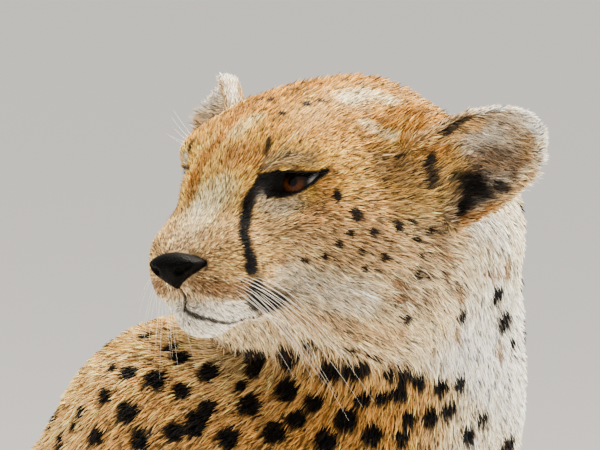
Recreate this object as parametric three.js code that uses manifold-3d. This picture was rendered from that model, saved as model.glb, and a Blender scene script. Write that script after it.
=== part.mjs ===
// A life-size cheetah that sits upright and looks back over its right shoulder.
//
// Frame: millimetres, +Z up, +X the way the trunk faces, +Y the animal's left. The origin is the point
// of the floor under the seat bones. The forms reach out to the tips of the coat.
//
// The body is one set of smooth forms, each a signed distance field: masses are ellipsoids and limbs are
// tapered capsules, and they melt into each other over a stated blend. The surface of a field is meshed
// at the fineness that its part needs, and then parted with thin cuts into the named parts.
import * as THREE from "three";
import { mergeVertices } from "three/addons/utils/BufferGeometryUtils.js";
import Module from "manifold-3d";

const wasm = await Module();
wasm.setup();

// ---------------------------------------------------------------- driving dimensions
const GAP = 0.4; // width of the cuts between parts
const LEG_SHRINK = 0.996; // makes the gap between a leg and the trunk
const SIDES = { left: 1, right: -1 };

const HEAD = {
  nose: [214, -190, 736], // centre of the front of the nose pad
  heading: -120, // degrees from +X, so the head looks back over the right shoulder
  pitch: 3, // nose up
  roll: 3, // left side up
};
const EYEBALL_RADIUS = 16;
const EAR = { height: 56, halfWidth: 28, cup: 17, thickness: 9.5 };
const PAW = { toeSpread: 17, toeRadius: 13.5 };
const CLAW = { length: 12, radius: 3.2, sides: 4 };
const TAIL = { sides: 8, rings: 15 };

// The skeleton's joints on the left side of the body, whose mirror images are the right ones.
const JOINT = {
  bladeTop: [184, 42, 640],
  shoulder: [312, 72, 545],
  elbow: [228, 80, 378],
  wrist: [268, 72, 130],
  foreFetlock: [284, 70, 50],
  forePaw: [308, 70, 23],
  foreToes: [352, 71, 11],
  knee: [160, 112, 262],
  hock: [12, 106, 70],
  heel: [-30, 104, 24],
  hindFetlock: [128, 102, 23],
  hindPaw: [168, 102, 22],
  hindToes: [210, 103, 11],
};
const NECK = { root: [226, 0, 562], middle: [297, -6, 664], top: [317, -34, 742] };

// ---------------------------------------------------------------- small vector helpers
const radians = (degrees) => (degrees * Math.PI) / 180;
const minus = (a, b) => [a[0] - b[0], a[1] - b[1], a[2] - b[2]];
const along = (a, b, t) => a.map((v, i) => v + (b[i] - v) * t);
const dot = (a, b) => a[0] * b[0] + a[1] * b[1] + a[2] * b[2];
const onSide = (point, side) => [point[0], point[1] * side, point[2]];

// ---------------------------------------------------------------- distance fields
function smoothMin(a, b, blend) {
  const h = Math.max(blend - Math.abs(a - b), 0) / blend;
  return Math.min(a, b) - (h * h * blend) / 4;
}

// An ellipsoid. tilt turns its first axis towards its third, in degrees.
function mass(centre, radii, tilt = 0) {
  const c = Math.cos(radians(tilt));
  const s = Math.sin(radians(tilt));
  return (p) => {
    const q = minus(p, centre);
    const x = (q[0] * c + q[2] * s) / radii[0];
    const y = q[1] / radii[1];
    const z = (q[2] * c - q[0] * s) / radii[2];
    const k0 = Math.hypot(x, y, z);
    const k1 = Math.hypot(x / radii[0], y / radii[1], z / radii[2]);
    return k1 > 0 ? (k0 * (k0 - 1)) / k1 : -Math.min(...radii);
  };
}

// A capsule from a to b whose radius runs from ra to rb.
function limb(a, b, ra, rb) {
  const ab = minus(b, a);
  const length2 = dot(ab, ab);
  return (p) => {
    const ap = minus(p, a);
    const t = Math.min(1, Math.max(0, dot(ap, ab) / length2));
    return Math.hypot(ap[0] - ab[0] * t, ap[1] - ab[1] * t, ap[2] - ab[2] * t) - (ra + (rb - ra) * t);
  };
}

// A slice of trunk between a point of the back and a point of the belly line, both [x, z].
function section(back, belly, halfWidth, halfLength) {
  const centre = [(back[0] + belly[0]) / 2, 0, (back[1] + belly[1]) / 2];
  const deep = Math.hypot(back[0] - belly[0], back[1] - belly[1]) / 2;
  const tilt = (Math.atan2(back[1] - belly[1], back[0] - belly[0]) * 180) / Math.PI - 90;
  return mass(centre, [halfLength, halfWidth, deep], tilt);
}

// All forms of a list of [field, blend] melted in order into what is already there.
function meltInto(distance, forms, p) {
  return forms.reduce((d, [field, blend]) => smoothMin(d, field(p), blend), distance);
}

function melt(forms) {
  return (p) => meltInto(1e6, forms, p);
}

// ---------------------------------------------------------------- trunk, neck and legs
function trunkForms() {
  return [
    [mass([-12, 0, 58], [80, 62, 64]), 40], // the seat, which rests on the floor
    [section([-122, 175], [88, 92], 88, 120), 40],
    [section([-104, 290], [74, 222], 78, 95), 60],
    [section([-52, 405], [122, 318], 80, 95), 60],
    [section([20, 508], [204, 390], 89, 100), 60],
    [section([91, 597], [282, 450], 94, 100), 60],
    [section([160, 665], [338, 530], 88, 78), 60],
    [mass([292, 0, 605], [66, 68, 80]), 50],
  ];
}

function neckForms() {
  return [
    [limb(NECK.root, NECK.middle, 82, 69), 50],
    [limb(NECK.middle, NECK.top, 69, 64), 40],
    [mass([308, -40, 712], [58, 50, 36]), 14], // the fold of its right side over the shoulder
  ];
}

// Forms of one foreleg, from the shoulder blade to the toes.
function foreLegForms(side) {
  const at = (name) => onSide(JOINT[name], side);
  const bladeFoot = along(at("bladeTop"), at("shoulder"), 0.9);
  return [
    [limb(at("bladeTop"), bladeFoot, 32, 46), 60],
    [limb(at("shoulder"), at("elbow"), 50, 38), 45],
    [limb(onSide([205, 70, 540], side), onSide([216, 78, 405], side), 42, 33), 45],
    [limb(at("elbow"), at("wrist"), 37, 24), 25],
    [limb(at("wrist"), at("foreFetlock"), 24.5, 24), 20],
    ...pawForms(at("forePaw"), at("foreToes"), 33),
  ];
}

// Forms of one hind leg, folded with its whole foot on the floor.
function hindLegForms(side) {
  const at = (name) => onSide(JOINT[name], side);
  return [
    [mass(onSide([-48, 58, 108], side), [116, 66, 88], 75), 50],
    [mass(onSide([48, 90, 192], side), [150, 52, 98], 33), 45],
    [limb(onSide([135, 104, 262], side), at("knee"), 50, 44), 40],
    [limb(at("knee"), at("hock"), 46, 32), 40],
    [limb(at("hock"), at("heel"), 32, 25), 20],
    [limb(at("heel"), at("hindFetlock"), 27, 24), 20],
    ...pawForms(at("hindPaw"), at("hindToes"), 31),
  ];
}

// A paw: its body and four toes, the middle two ahead of the outer two.
function pawForms(centre, toes, halfWidth) {
  const forms = [[mass(centre, [44, halfWidth, 27]), 20]];
  for (let toe = 0; toe < 4; toe++) {
    const { root, tip } = toePoints(centre, toes, toe);
    forms.push([limb(root, tip, PAW.toeRadius + 1.5, PAW.toeRadius), 7]);
  }
  return forms;
}

function toePoints(centre, toes, toe) {
  const aside = (toe - 1.5) * PAW.toeSpread;
  const back = (toe === 0 || toe === 3) ? 11 : 0;
  return {
    root: [centre[0] + 12 - back, centre[1] + aside * 0.8, centre[2] - 4],
    tip: [toes[0] - back, toes[1] + aside, toes[2]],
  };
}

const bothSides = (forms) => Object.values(SIDES).flatMap(forms);
const core = melt([...trunkForms(), ...neckForms()]);
const foreLegs = bothSides(foreLegForms);
const hindLegs = bothSides(hindLegForms);

// The body melts into its forelegs and into its hind legs, but an elbow doesn't melt into a knee.
// The floor flattens whatever reaches it.
const floored = (field) => (p) => Math.max(field(p), -p[2]);
const foreShape = (p) => meltInto(core(p), foreLegs, p);
const hindShape = (p) => meltInto(core(p), hindLegs, p);
const bodyShape = (p) => Math.min(foreShape(p), hindShape(p));
const foreField = floored(foreShape);
const hindField = floored(hindShape);
const bodyField = floored(bodyShape);

// Below zero where a point is nearer to the legs than to the rest of the body.
const foreDomain = (p) => meltInto(1e6, foreLegs, p) - Math.min(core(p), meltInto(1e6, hindLegs, p));
const hindDomain = (p) => meltInto(1e6, hindLegs, p) - Math.min(core(p), meltInto(1e6, foreLegs, p));

// ---------------------------------------------------------------- head
// The head has its own frame: back from the nose pad, left, and up, in millimetres.
const headBasis = (() => {
  const turn = radians(HEAD.heading);
  const pitch = radians(HEAD.pitch);
  const roll = radians(HEAD.roll);
  const level = new THREE.Vector3(Math.cos(turn), Math.sin(turn), 0);
  const levelLeft = new THREE.Vector3(-Math.sin(turn), Math.cos(turn), 0);
  const zenith = new THREE.Vector3(0, 0, 1);
  const forward = level.clone().multiplyScalar(Math.cos(pitch)).addScaledVector(zenith, Math.sin(pitch));
  const pitchedUp = zenith.clone().multiplyScalar(Math.cos(pitch)).addScaledVector(level, -Math.sin(pitch));
  const left = levelLeft.clone().multiplyScalar(Math.cos(roll)).addScaledVector(pitchedUp, Math.sin(roll));
  const up = pitchedUp.clone().multiplyScalar(Math.cos(roll)).addScaledVector(levelLeft, -Math.sin(roll));
  return { back: forward.negate().toArray(), left: left.toArray(), up: up.toArray() };
})();

function toHead(p) {
  const q = minus(p, HEAD.nose);
  return [dot(q, headBasis.back), dot(q, headBasis.left), dot(q, headBasis.up)];
}

function fromHead(h) {
  return HEAD.nose.map((v, i) => v + h[0] * headBasis.back[i] + h[1] * headBasis.left[i] + h[2] * headBasis.up[i]);
}

// How high the ruff's middle is on each side: on the right the turned neck pushes it up.
const RUFF_MIDDLE = { [SIDES.left]: -14, [SIDES.right]: -2 };
const EYE = { centre: [82, 27, 41], inner: [56, 22, 38], outer: [82, 39, 49.5] };

// Forms of the head in its own frame, those at the sides once for each side.
function headForms() {
  const forms = [
    [mass([128, 0, 43], [60, 56, 52]), 30], // cranium
    [mass([160, 0, 52], [38, 42, 45]), 20], // back of the skull
    [mass([84, 0, 49], [38, 40, 30]), 30], // forehead
    [limb([17, 0, 0], [66, 0, 36], 13, 20), 22], // bridge of the nose
    [mass([32, 0, -24], [18, 13, 13]), 9], // chin
    [mass([122, 0, -12], [42, 34, 24]), 26], // throat
  ];
  const paired = (s) => [
    [mass([75, 29 * s, 55], [18, 14, 13]), 16], // brow
    [mass([54, 13 * s, 37], [15, 13, 15]), 12], // between the bridge and the eye
    [mass([34, 13 * s, -8], [20, 13.5, 14.5]), 9], // whisker pad
    [mass([46, 19 * s, 7], [28, 16, 19]), 16], // side of the muzzle
    [limb([36, 9 * s, -19], [95, 32 * s, -12], 9, 16), 10], // lower jaw
    [limb([68, 34 * s, 22], [120, 48 * s, 20], 16, 19), 20], // cheek bone
    [mass([105, 38 * s, -8], [35, 25, 33]), 22], // cheek
    [mass([132, 46 * s, RUFF_MIDDLE[s]], [36, 26, 32]), 26], // ruff behind the jaw
    [mass([146, 55 * s, 53], [24, 20, 28]), 18], // root of the ear
  ];
  return [...forms, ...bothSides(paired)];
}
const skull = melt(headForms());
const neck = melt(neckForms());

// The hollow in front of each eye, under the brow.
function socket(s) {
  return mass([57, 41 * s, 40], [15, 14, 11], 15);
}

function headField(p) {
  const h = toHead(p);
  const open = bothSides((s) => [socket(s)(h)]);
  const flesh = open.reduce((d, hollow) => -smoothMin(-d, hollow, 12), skull(h));
  return smoothMin(flesh, neck(p), 32);
}

// The nose pad: wide above, cut to a wedge towards the lips.
const noseBall = mass([12, 0, -1], [13, 19, 13]);
function noseField(p) {
  const h = toHead(p);
  const aside = Math.abs(h[1]);
  const top = h[2] - 8.2 + 0.018 * aside ** 2;
  const flank = 0.61 * aside - 0.793 * h[2] - 8.6;
  const front = -0.8 * h[0] - 0.6 * h[2] - 1.4;
  return [top, flank, front].reduce((d, cut) => -smoothMin(-d, -cut, 3), noseBall(h));
}

// ---------------------------------------------------------------- meshing
// Meshes the surface of a field inside a box by surface nets: each cell of the grid that the surface
// crosses gets one vertex, drawn on to the surface, and each crossed grid edge one quad.
function polygonize(field, low, high, steps) {
  const n = low.map((v, i) => Math.ceil((high[i] - v) / steps[i]) + 1);
  const value = new Float64Array(n[0] * n[1] * n[2]);
  const index = (i, j, k) => (i * n[1] + j) * n[2] + k;
  const place = (...cell) => cell.map((c, i) => low[i] + c * steps[i]);
  for (let i = 0; i < n[0]; i++)
    for (let j = 0; j < n[1]; j++)
      for (let k = 0; k < n[2]; k++) value[index(i, j, k)] = field(place(i, j, k));

  const vertexOf = new Int32Array(value.length).fill(-1);
  const points = [];
  for (let i = 0; i < n[0] - 1; i++)
    for (let j = 0; j < n[1] - 1; j++)
      for (let k = 0; k < n[2] - 1; k++) {
        const centre = cellVertex(i, j, k);
        if (!centre) continue;
        vertexOf[index(i, j, k)] = points.length;
        points.push(onSurface(field, centre, steps));
      }

  // The mean of the places where the surface crosses the cell's edges.
  function cellVertex(i, j, k) {
    const sum = [0, 0, 0];
    let crossings = 0;
    for (let axis = 0; axis < 3; axis++)
      for (let corner = 0; corner < 4; corner++) {
        const a = [i, j, k];
        a[(axis + 1) % 3] += corner & 1;
        a[(axis + 2) % 3] += corner >> 1;
        const b = [...a];
        b[axis] += 1;
        const va = value[index(...a)];
        const vb = value[index(...b)];
        if (va < 0 === vb < 0) continue;
        const t = va / (va - vb);
        const pa = place(...a);
        pa[axis] += t * steps[axis];
        pa.forEach((v, m) => (sum[m] += v));
        crossings++;
      }
    return crossings ? sum.map((v) => v / crossings) : null;
  }

  const triangles = [];
  for (let axis = 0; axis < 3; axis++) {
    const u = (axis + 1) % 3;
    const w = (axis + 2) % 3;
    for (let i = 0; i < n[0] - 1; i++)
      for (let j = 0; j < n[1] - 1; j++)
        for (let k = 0; k < n[2] - 1; k++) {
          const at = [i, j, k];
          if (at[u] === 0 || at[w] === 0) continue;
          const next = [...at];
          next[axis] += 1;
          const inside = value[index(...at)] < 0;
          if (inside === value[index(...next)] < 0) continue;
          const cell = (du, dw) => {
            const c = [...at];
            c[u] -= du;
            c[w] -= dw;
            return vertexOf[index(...c)];
          };
          addQuad(triangles, points, [cell(1, 1), cell(0, 1), cell(0, 0), cell(1, 0)], !inside);
        }
  }
  return bufferGeometry(points, triangles);
}

// Two steps of Newton's method along the field's slope, kept within half a cell.
function onSurface(field, start, steps) {
  let p = start;
  const nudge = steps[0] * 0.05;
  for (let round = 0; round < 2; round++) {
    const d = field(p);
    const slope = [0, 1, 2].map((i) => {
      const q = [...p];
      q[i] += nudge;
      return (field(q) - d) / nudge;
    });
    const steep = Math.max(dot(slope, slope), 0.25);
    p = p.map((v, i) => v - (d * slope[i]) / steep);
  }
  return p.map((v, i) => Math.min(start[i] + steps[i] / 2, Math.max(start[i] - steps[i] / 2, v)));
}

// Splits a quad on its shorter diagonal.
function addQuad(triangles, points, quad, flip) {
  const [a, b, c, d] = flip ? [...quad].reverse() : quad;
  const far = (m, n) => Math.hypot(...minus(points[m], points[n]));
  if (far(a, c) < far(b, d)) triangles.push(a, b, c, a, c, d);
  else triangles.push(a, b, d, b, c, d);
}

function bufferGeometry(points, triangles) {
  return new THREE.BufferGeometry()
    .setAttribute("position", new THREE.Float32BufferAttribute(points.flat(), 3))
    .setIndex(triangles);
}

// ---------------------------------------------------------------- solids, cuts and joins
function solidOf(geometry) {
  const bare = geometry.clone();
  bare.deleteAttribute("normal");
  bare.deleteAttribute("uv");
  const merged = mergeVertices(bare, 1e-3);
  return new wasm.Manifold(
    new wasm.Mesh({
      numProp: 3,
      vertProperties: new Float32Array(merged.attributes.position.array),
      triVerts: new Uint32Array(merged.index.array),
    }),
  );
}

const without = (solid, others) => others.reduce((rest, other) => rest.subtract(other), solid);

// The largest body of a solid, without the crumbs that a cut can leave.
function mainBody(solid) {
  return solid.decompose().reduce((best, body) => (body.volume() > best.volume() ? body : best));
}

function geometryOf(solid) {
  const mesh = solid.getMesh();
  return new THREE.BufferGeometry()
    .setAttribute("position", new THREE.BufferAttribute(new Float32Array(mesh.vertProperties), 3))
    .setIndex(new THREE.BufferAttribute(new Uint32Array(mesh.triVerts), 1));
}

// All space on the side of a plane that its normal points to, as a big box.
function beyond(point, normal, shift = 0) {
  const reach = 1200;
  const direction = new THREE.Vector3(...normal).normalize();
  const turn = new THREE.Quaternion().setFromUnitVectors(new THREE.Vector3(0, 0, 1), direction);
  const centre = new THREE.Vector3(...point).addScaledVector(direction, reach / 2 + shift);
  return solidOf(
    new THREE.BoxGeometry(reach, reach, reach).applyQuaternion(turn).translate(...centre.toArray()),
  );
}

// A region to mesh: two corners, and the size of its cells along each axis.
const region = (low, high, ...cell) => ({ low, high, cell: cell.length === 3 ? cell : Array(3).fill(cell[0]) });

// The mirror image of a region on the left of the body, or the region itself.
function sided({ low, high, cell }, side) {
  const ys = [low[1] * side, high[1] * side].sort((a, b) => a - b);
  return { low: [low[0], ys[0], low[2]], high: [high[0], ys[1], high[2]], cell };
}

// The solid of a field, grown by some millimetres, inside a region.
function fieldSolid(field, { low, high, cell }, grow = 0) {
  const kept = (p) => Math.max(field(p) - grow, ...low.map((v, i) => Math.max(v - p[i], p[i] - high[i])));
  const from = low.map((v, i) => v - 1.5 * cell[i]);
  const to = high.map((v, i) => v + 1.5 * cell[i]);
  return solidOf(polygonize(kept, from, to, cell));
}

// The edges of a solid's mesh at which it only touches itself, as [point, point].
function pinches(solid) {
  const { index, attributes } = mergeVertices(geometryOf(solid), 1e-3);
  const uses = new Map();
  for (let i = 0; i < index.count; i++) {
    const ends = [index.getX(i), index.getX(i - (i % 3) + ((i + 1) % 3))].sort((a, b) => a - b);
    uses.set(ends.join(), (uses.get(ends.join()) || 0) + 1);
  }
  const point = (i) => new THREE.Vector3().fromBufferAttribute(attributes.position, i).toArray();
  const shared = [...uses].filter(([, count]) => count > 2);
  return shared.map(([ends]) => ends.split(",").map((i) => point(Number(i))));
}

// Opens each pinch of a solid by a thin bore along it, so that every edge has two faces.
function opened(solid) {
  let whole = solid;
  for (let round = 0; round < 3; round++) {
    for (const [a, b] of pinches(whole)) {
      const length = Math.hypot(...minus(a, b)) + 2 * GAP;
      const upright = new THREE.Vector3(0, 1, 0);
      const turn = new THREE.Quaternion().setFromUnitVectors(upright, new THREE.Vector3(...minus(b, a)).normalize());
      const bore = new THREE.CylinderGeometry(GAP, GAP, length, 5).applyQuaternion(turn);
      whole = whole.subtract(solidOf(bore.translate(...along(a, b, 0.5))));
    }
  }
  return mainBody(whole);
}

// A closed skin over rings of points, each ring with as many points as the others.
function skinOver(rings) {
  const sides = rings[0].length;
  const points = rings.flat();
  const triangles = [];
  for (let r = 0; r < rings.length - 1; r++)
    for (let s = 0; s < sides; s++) {
      const t = (s + 1) % sides;
      addQuad(triangles, points, [r * sides + s, r * sides + t, (r + 1) * sides + t, (r + 1) * sides + s]);
    }
  for (const [ring, first] of [[rings[0], 0], [rings.at(-1), (rings.length - 1) * sides]]) {
    const middle = [0, 1, 2].map((i) => ring.reduce((sum, p) => sum + p[i], 0) / sides);
    points.push(middle);
    for (let s = 0; s < sides; s++) {
      const pair = [first + s, first + ((s + 1) % sides)];
      if (first === 0) pair.reverse();
      triangles.push(points.length - 1, ...pair);
    }
  }
  return bufferGeometry(points, triangles);
}

// ---------------------------------------------------------------- the parts
const cheetah = new THREE.Group();
const solids = {}; // each part's solid by its name
const COAT = { color: 0xc79a5f, roughness: 0.9, metalness: 0 };
const PALE_COAT = { color: 0xe6d9c4, roughness: 0.9, metalness: 0 };
const NOSE_SKIN = { color: 0x171413, roughness: 0.45, metalness: 0 };
const EYE_GLASS = { color: 0x5a2f14, roughness: 0.08, metalness: 0 };
const HORN = { color: 0x2b2622, roughness: 0.5, metalness: 0 };

function addPart(name, solid, look) {
  const welded = mainBody(solidOf(geometryOf(opened(mainBody(solid)))));
  solids[name] = welded;
  const mesh = new THREE.Mesh(geometryOf(welded), new THREE.MeshStandardMaterial(look));
  mesh.name = name;
  cheetah.add(mesh);
}

// Eyes: balls seen through an almond-shaped opening between the lids.
function eyeball(side, grow = 0) {
  const [x, y, z] = fromHead(onSide(EYE.centre, side));
  return solidOf(new THREE.SphereGeometry(EYEBALL_RADIUS + grow, 11, 7).translate(x, y, z));
}

function lidOpening(side) {
  const inner = new THREE.Vector3(...fromHead(onSide(EYE.inner, side)));
  const outer = new THREE.Vector3(...fromHead(onSide(EYE.outer, side)));
  const span = outer.clone().sub(inner);
  const acrossEye = span.clone().normalize();
  const up = new THREE.Vector3(...headBasis.up);
  const outward = new THREE.Vector3().crossVectors(acrossEye, up).multiplyScalar(side).normalize();
  const upright = new THREE.Vector3().crossVectors(outward, acrossEye).multiplyScalar(side).normalize();
  const half = span.length() / 2;
  const almond = new THREE.Shape();
  almond.moveTo(-half, -1);
  almond.quadraticCurveTo(0, 13, half, 0);
  almond.quadraticCurveTo(-2, -15, -half, -1);
  const reach = 26;
  const prism = new THREE.ExtrudeGeometry(almond, { depth: reach, bevelEnabled: false, curveSegments: 6 });
  const basis = new THREE.Matrix4().makeBasis(acrossEye, upright, new THREE.Vector3().crossVectors(acrossEye, upright));
  const middle = inner.add(outer).multiplyScalar(0.5);
  // The prism runs from inside the ball to clear of the face.
  const sense = basis.elements[8] * outward.x + basis.elements[9] * outward.y + basis.elements[10] * outward.z;
  basis.setPosition(middle.addScaledVector(outward, sense > 0 ? -7 : reach - 7));
  return solidOf(prism.applyMatrix4(basis));
}

// Ears: cupped shells. u runs across from edge to edge and v from the root to the tip.
function ear(root, axis, facing, side) {
  const up = new THREE.Vector3(...axis).normalize();
  const face = new THREE.Vector3(...facing);
  face.addScaledVector(up, -face.dot(up)).normalize();
  const across = new THREE.Vector3().crossVectors(up, face);
  const shell = (u, v, sheet) => {
    const width = EAR.halfWidth * Math.sqrt(1 - Math.max(v, 0) ** 3 * 0.95);
    const depth = EAR.cup * (1 - 0.35 * v) * u * u + (EAR.thickness / 2) * sheet * (1.1 - 0.5 * u * u);
    const height = EAR.height * v * (1 - 0.1 * u * u);
    const h = [0, 1, 2].map(
      (i) =>
        root[i] +
        up.getComponent(i) * height +
        across.getComponent(i) * u * width +
        face.getComponent(i) * depth,
    );
    return fromHead(onSide(h, side));
  };
  const columns = 6;
  const rings = [-0.2, 0.35, 0.7, 0.9, 1].map((v) => {
    const us = Array.from({ length: columns + 1 }, (_, i) => -1 + (2 * i) / columns);
    const ring = [...us.map((u) => shell(u, v, 1)), ...us.reverse().map((u) => shell(u, v, -1))];
    return side > 0 ? ring.reverse() : ring;
  });
  return solidOf(skinOver(rings));
}

const HEAD_REGION = region([20, -260, 640], [420, 80, 920], 13.6);
const NOSE_REGION = region(HEAD.nose.map((v) => v - 45), HEAD.nose.map((v) => v + 45), 6);
// The head ends in a slanted plane behind the jaws and the ears.
const HEAD_CUT = [fromHead([186, 0, 10]), headBasis.up.map((v, i) => v * 0.55 - headBasis.back[i] * 0.83)];

function headSolid(grow) {
  return fieldSolid(headField, HEAD_REGION, grow).intersect(beyond(...HEAD_CUT, -grow));
}

function addEars(grownHead) {
  const ears = {
    left: ear([149, 69, 46], [3.0, 3.85, 2.45], [-6.5, 5.4, -0.5], 1),
    right: ear([146, 62, 50], [1.7, 2.4, 4.1], [-6, 3.5, 0.3], -1),
  };
  for (const name of Object.keys(SIDES)) {
    addPart(`ear_${name}`, without(ears[name], [grownHead, solids.neck]), COAT);
  }
}

function addHead() {
  addPart("nose", fieldSolid(noseField, NOSE_REGION), NOSE_SKIN);
  let head = headSolid(0).subtract(fieldSolid(noseField, NOSE_REGION, 4 * GAP));
  for (const [name, side] of Object.entries(SIDES)) {
    addPart(`eye_${name}`, eyeball(side), EYE_GLASS);
    head = head.subtract(eyeball(side, GAP)).subtract(lidOpening(side));
  }
  addPart("head", head, COAT);
}

// ---------------------------------------------------------------- trunk, neck and legs as parts
const TRUNK_REGION = region([-166, -170, -40], [430, 170, 760], 47);
const NECK_REGION = region([80, -160, 500], [420, 130, 860], 35);

// Planes that part the body: [a point, the direction of the side that is kept].
const NECK_CUT = [[222, -12, 655], [0.57, -0.2, 0.8]];
const SHOULDER_CUT = [[262, 75, 452], [0.35, 0, 1]];
const ELBOW_CUT = [[232, 80, 340], [-0.15, 0, 1]];
const WRIST_CUT = [[270, 72, 112], [-0.1, 0, 1]];
const ANKLE_CUT = [[0, 104, 84], [-0.35, 0, 1]];
const flipped = ([point, normal]) => [point, normal.map((v) => -v)];
const mirrored = (cut, side) => cut.map((v) => onSide(v, side));

// The legs: the field that each is meshed from, all the space nearer to it than to the rest of the
// body, and its lengths, each kept on one side of some planes.
const LEGS = {
  fore: {
    field: foreField,
    domain: foreDomain,
    reach: region([60, 2, -40], [430, 220, 520], 52),
    centre: [250, 90, 360],
    top: flipped(SHOULDER_CUT),
    toes: ["forePaw", "foreToes"],
    lengths: {
      upper_arm: { within: region([100, 10, 300], [420, 170, 480], 32, 26, 32), cuts: [ELBOW_CUT] },
      forearm: { within: region([180, 20, 80], [340, 140, 380], 20, 20, 48), cuts: [flipped(ELBOW_CUT), WRIST_CUT] },
      forepaw: { within: region([220, 20, -5], [400, 130, 140], 19, 14, 16), cuts: [flipped(WRIST_CUT)] },
    },
  },
  hind: {
    field: hindField,
    domain: hindDomain,
    reach: region([-240, 2, -40], [280, 240, 400], 52),
    centre: [50, 105, 170],
    top: [[0, 0, 600], [0, 0, -1]],
    toes: ["hindPaw", "hindToes"],
    lengths: {
      thigh: { within: region([-200, -5, -5], [250, 200, 350], 40, 32, 40), cuts: [ANKLE_CUT] },
      hind_foot: { within: region([-90, 40, -5], [260, 160, 150], 38, 18, 20), cuts: [flipped(ANKLE_CUT)] },
    },
  },
};

// All the space that belongs to a leg.
function legSpace(leg, side) {
  return fieldSolid(leg.domain, sided(leg.reach, side)).intersect(beyond(...mirrored(leg.top, side)));
}

// A solid shrunk a little towards a point inside it.
function shrunk(solid, centre) {
  const back = centre.map((v) => -v);
  return solid.translate(back).scale(LEG_SHRINK).translate(centre);
}

function addLeg(name, leg, side) {
  const space = shrunk(legSpace(leg, side), onSide(leg.centre, side));
  for (const [length, { within, cuts }] of Object.entries(leg.lengths)) {
    let piece = fieldSolid(leg.field, sided(within, side)).intersect(space);
    for (const cut of cuts) piece = piece.intersect(beyond(...mirrored(cut, side), GAP / 2));
    addPart(`${length}_${name}`, piece, COAT);
  }
}

// The whole body at the trunk's fineness, cut off flat at the floor.
function bodySolid() {
  return fieldSolid(bodyShape, TRUNK_REGION).intersect(beyond([0, 0, 0], [0, 0, 1]));
}

function addTrunk(grownHead) {
  const whole = bodySolid();
  const taken = [beyond(...NECK_CUT, -GAP / 2), grownHead];
  for (const [name, side] of Object.entries(SIDES))
    for (const leg of Object.values(LEGS)) {
      taken.push(legSpace(leg, side), ...Object.keys(leg.lengths).map((length) => solids[`${length}_${name}`]));
    }
  addPart("trunk", without(whole, taken), COAT);
}

// The neck takes in what lies of the head behind the head's cut.
function addNeck(grownHead) {
  const [point, normal] = HEAD_CUT;
  const behindCut = (p) => dot(minus(p, point), normal) - 8;
  const field = (p) => Math.min(bodyField(p), Math.max(headField(p), behindCut(p)));
  const neckPiece = fieldSolid(field, NECK_REGION).intersect(beyond(...NECK_CUT, GAP / 2));
  addPart("neck", neckPiece.subtract(grownHead), PALE_COAT);
}

// ---------------------------------------------------------------- claws
// A short hook at the tip of a toe, clear of the floor.
function claw(tip) {
  const rings = [0, 1].map((t) => {
    const radius = CLAW.radius * (1 - 0.85 * t);
    const centre = [tip[0] + 9 + CLAW.length * t, tip[1], tip[2] + 3 - 10 * t * t];
    return Array.from({ length: CLAW.sides }, (_, i) => {
      const turn = (i * 2 * Math.PI) / CLAW.sides;
      return [centre[0], centre[1] + radius * 0.7 * Math.cos(turn), centre[2] + radius * Math.sin(turn)];
    });
  });
  return solidOf(skinOver(rings));
}

function addClaws(name, end, leg, side) {
  const paw = solids[`${Object.keys(leg.lengths).at(-1)}_${name}`];
  const pawAndGap = paw.add(paw.translate([GAP, 0, 0]));
  const [centre, toes] = leg.toes.map((joint) => onSide(JOINT[joint], side));
  for (let toe = 0; toe < 4; toe++) {
    const { tip } = toePoints(centre, toes, toe);
    addPart(`claw_${end}_${name}_${toe + 1}`, claw(tip).subtract(pawAndGap), HORN);
  }
}

// ---------------------------------------------------------------- tail
// A tapering tube that comes down from the rump to the floor and sweeps round the left side.
const tailPath = new THREE.CatmullRomCurve3(
  [[-70, 0, 120], [-130, 2, 66], [-190, 25, 34], [-225, 80, 28], [-222, 150, 27], [-180, 208, 26],
    [-110, 243, 25], [-25, 256, 24], [60, 254, 23], [140, 238, 22]].map((p) => new THREE.Vector3(...p)),
);

function tailRadius(t) {
  const taper = 34 - 10 * Math.min(1, t * 2.2);
  const tip = t > 0.93 ? Math.sqrt(Math.max(0, 1 - ((t - 0.93) / 0.075) ** 2)) : 1;
  return taper * Math.max(tip, 0.25);
}

function tailRing(t) {
  const centre = tailPath.getPointAt(t);
  const ahead = tailPath.getTangentAt(t);
  const across = new THREE.Vector3(-ahead.y, ahead.x, 0).normalize();
  const over = new THREE.Vector3().crossVectors(ahead, across);
  return Array.from({ length: TAIL.sides }, (_, i) => {
    const turn = ((i + 0.5) * 2 * Math.PI) / TAIL.sides;
    const p = centre
      .clone()
      .addScaledVector(across, tailRadius(t) * Math.cos(turn))
      .addScaledVector(over, tailRadius(t) * Math.sin(turn));
    return [p.x, p.y, Math.max(0, p.z)];
  });
}

function addTail() {
  const thigh = LEGS.hind.lengths.thigh.within;
  const thighs = Object.values(SIDES).map((side) => fieldSolid(hindField, sided(thigh, side)));
  const rump = [bodySolid(), ...thighs];
  const body = rump.flatMap((solid) => [solid, solid.translate([-GAP, 0, -GAP])]);
  const lengths = { root: [0, 0.34], middle: [0.342, 0.67], end: [0.672, 1] };
  for (const [name, [from, to]] of Object.entries(lengths)) {
    const count = Math.round(TAIL.rings / 3);
    const rings = Array.from({ length: count + 1 }, (_, i) => tailRing(from + ((to - from) * i) / count));
    addPart(`tail_${name}`, without(solidOf(skinOver(rings)), body), COAT);
  }
}

// ---------------------------------------------------------------- the whole animal
const grownHead = headSolid(0).add(headSolid(GAP));
addHead();
addNeck(grownHead);
addEars(headSolid(2 * GAP));
for (const [name, side] of Object.entries(SIDES))
  for (const [end, leg] of Object.entries(LEGS)) {
    addLeg(name, leg, side);
    addClaws(name, end, leg, side);
  }
addTrunk(grownHead);
addTail();

export default cheetah;
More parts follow.
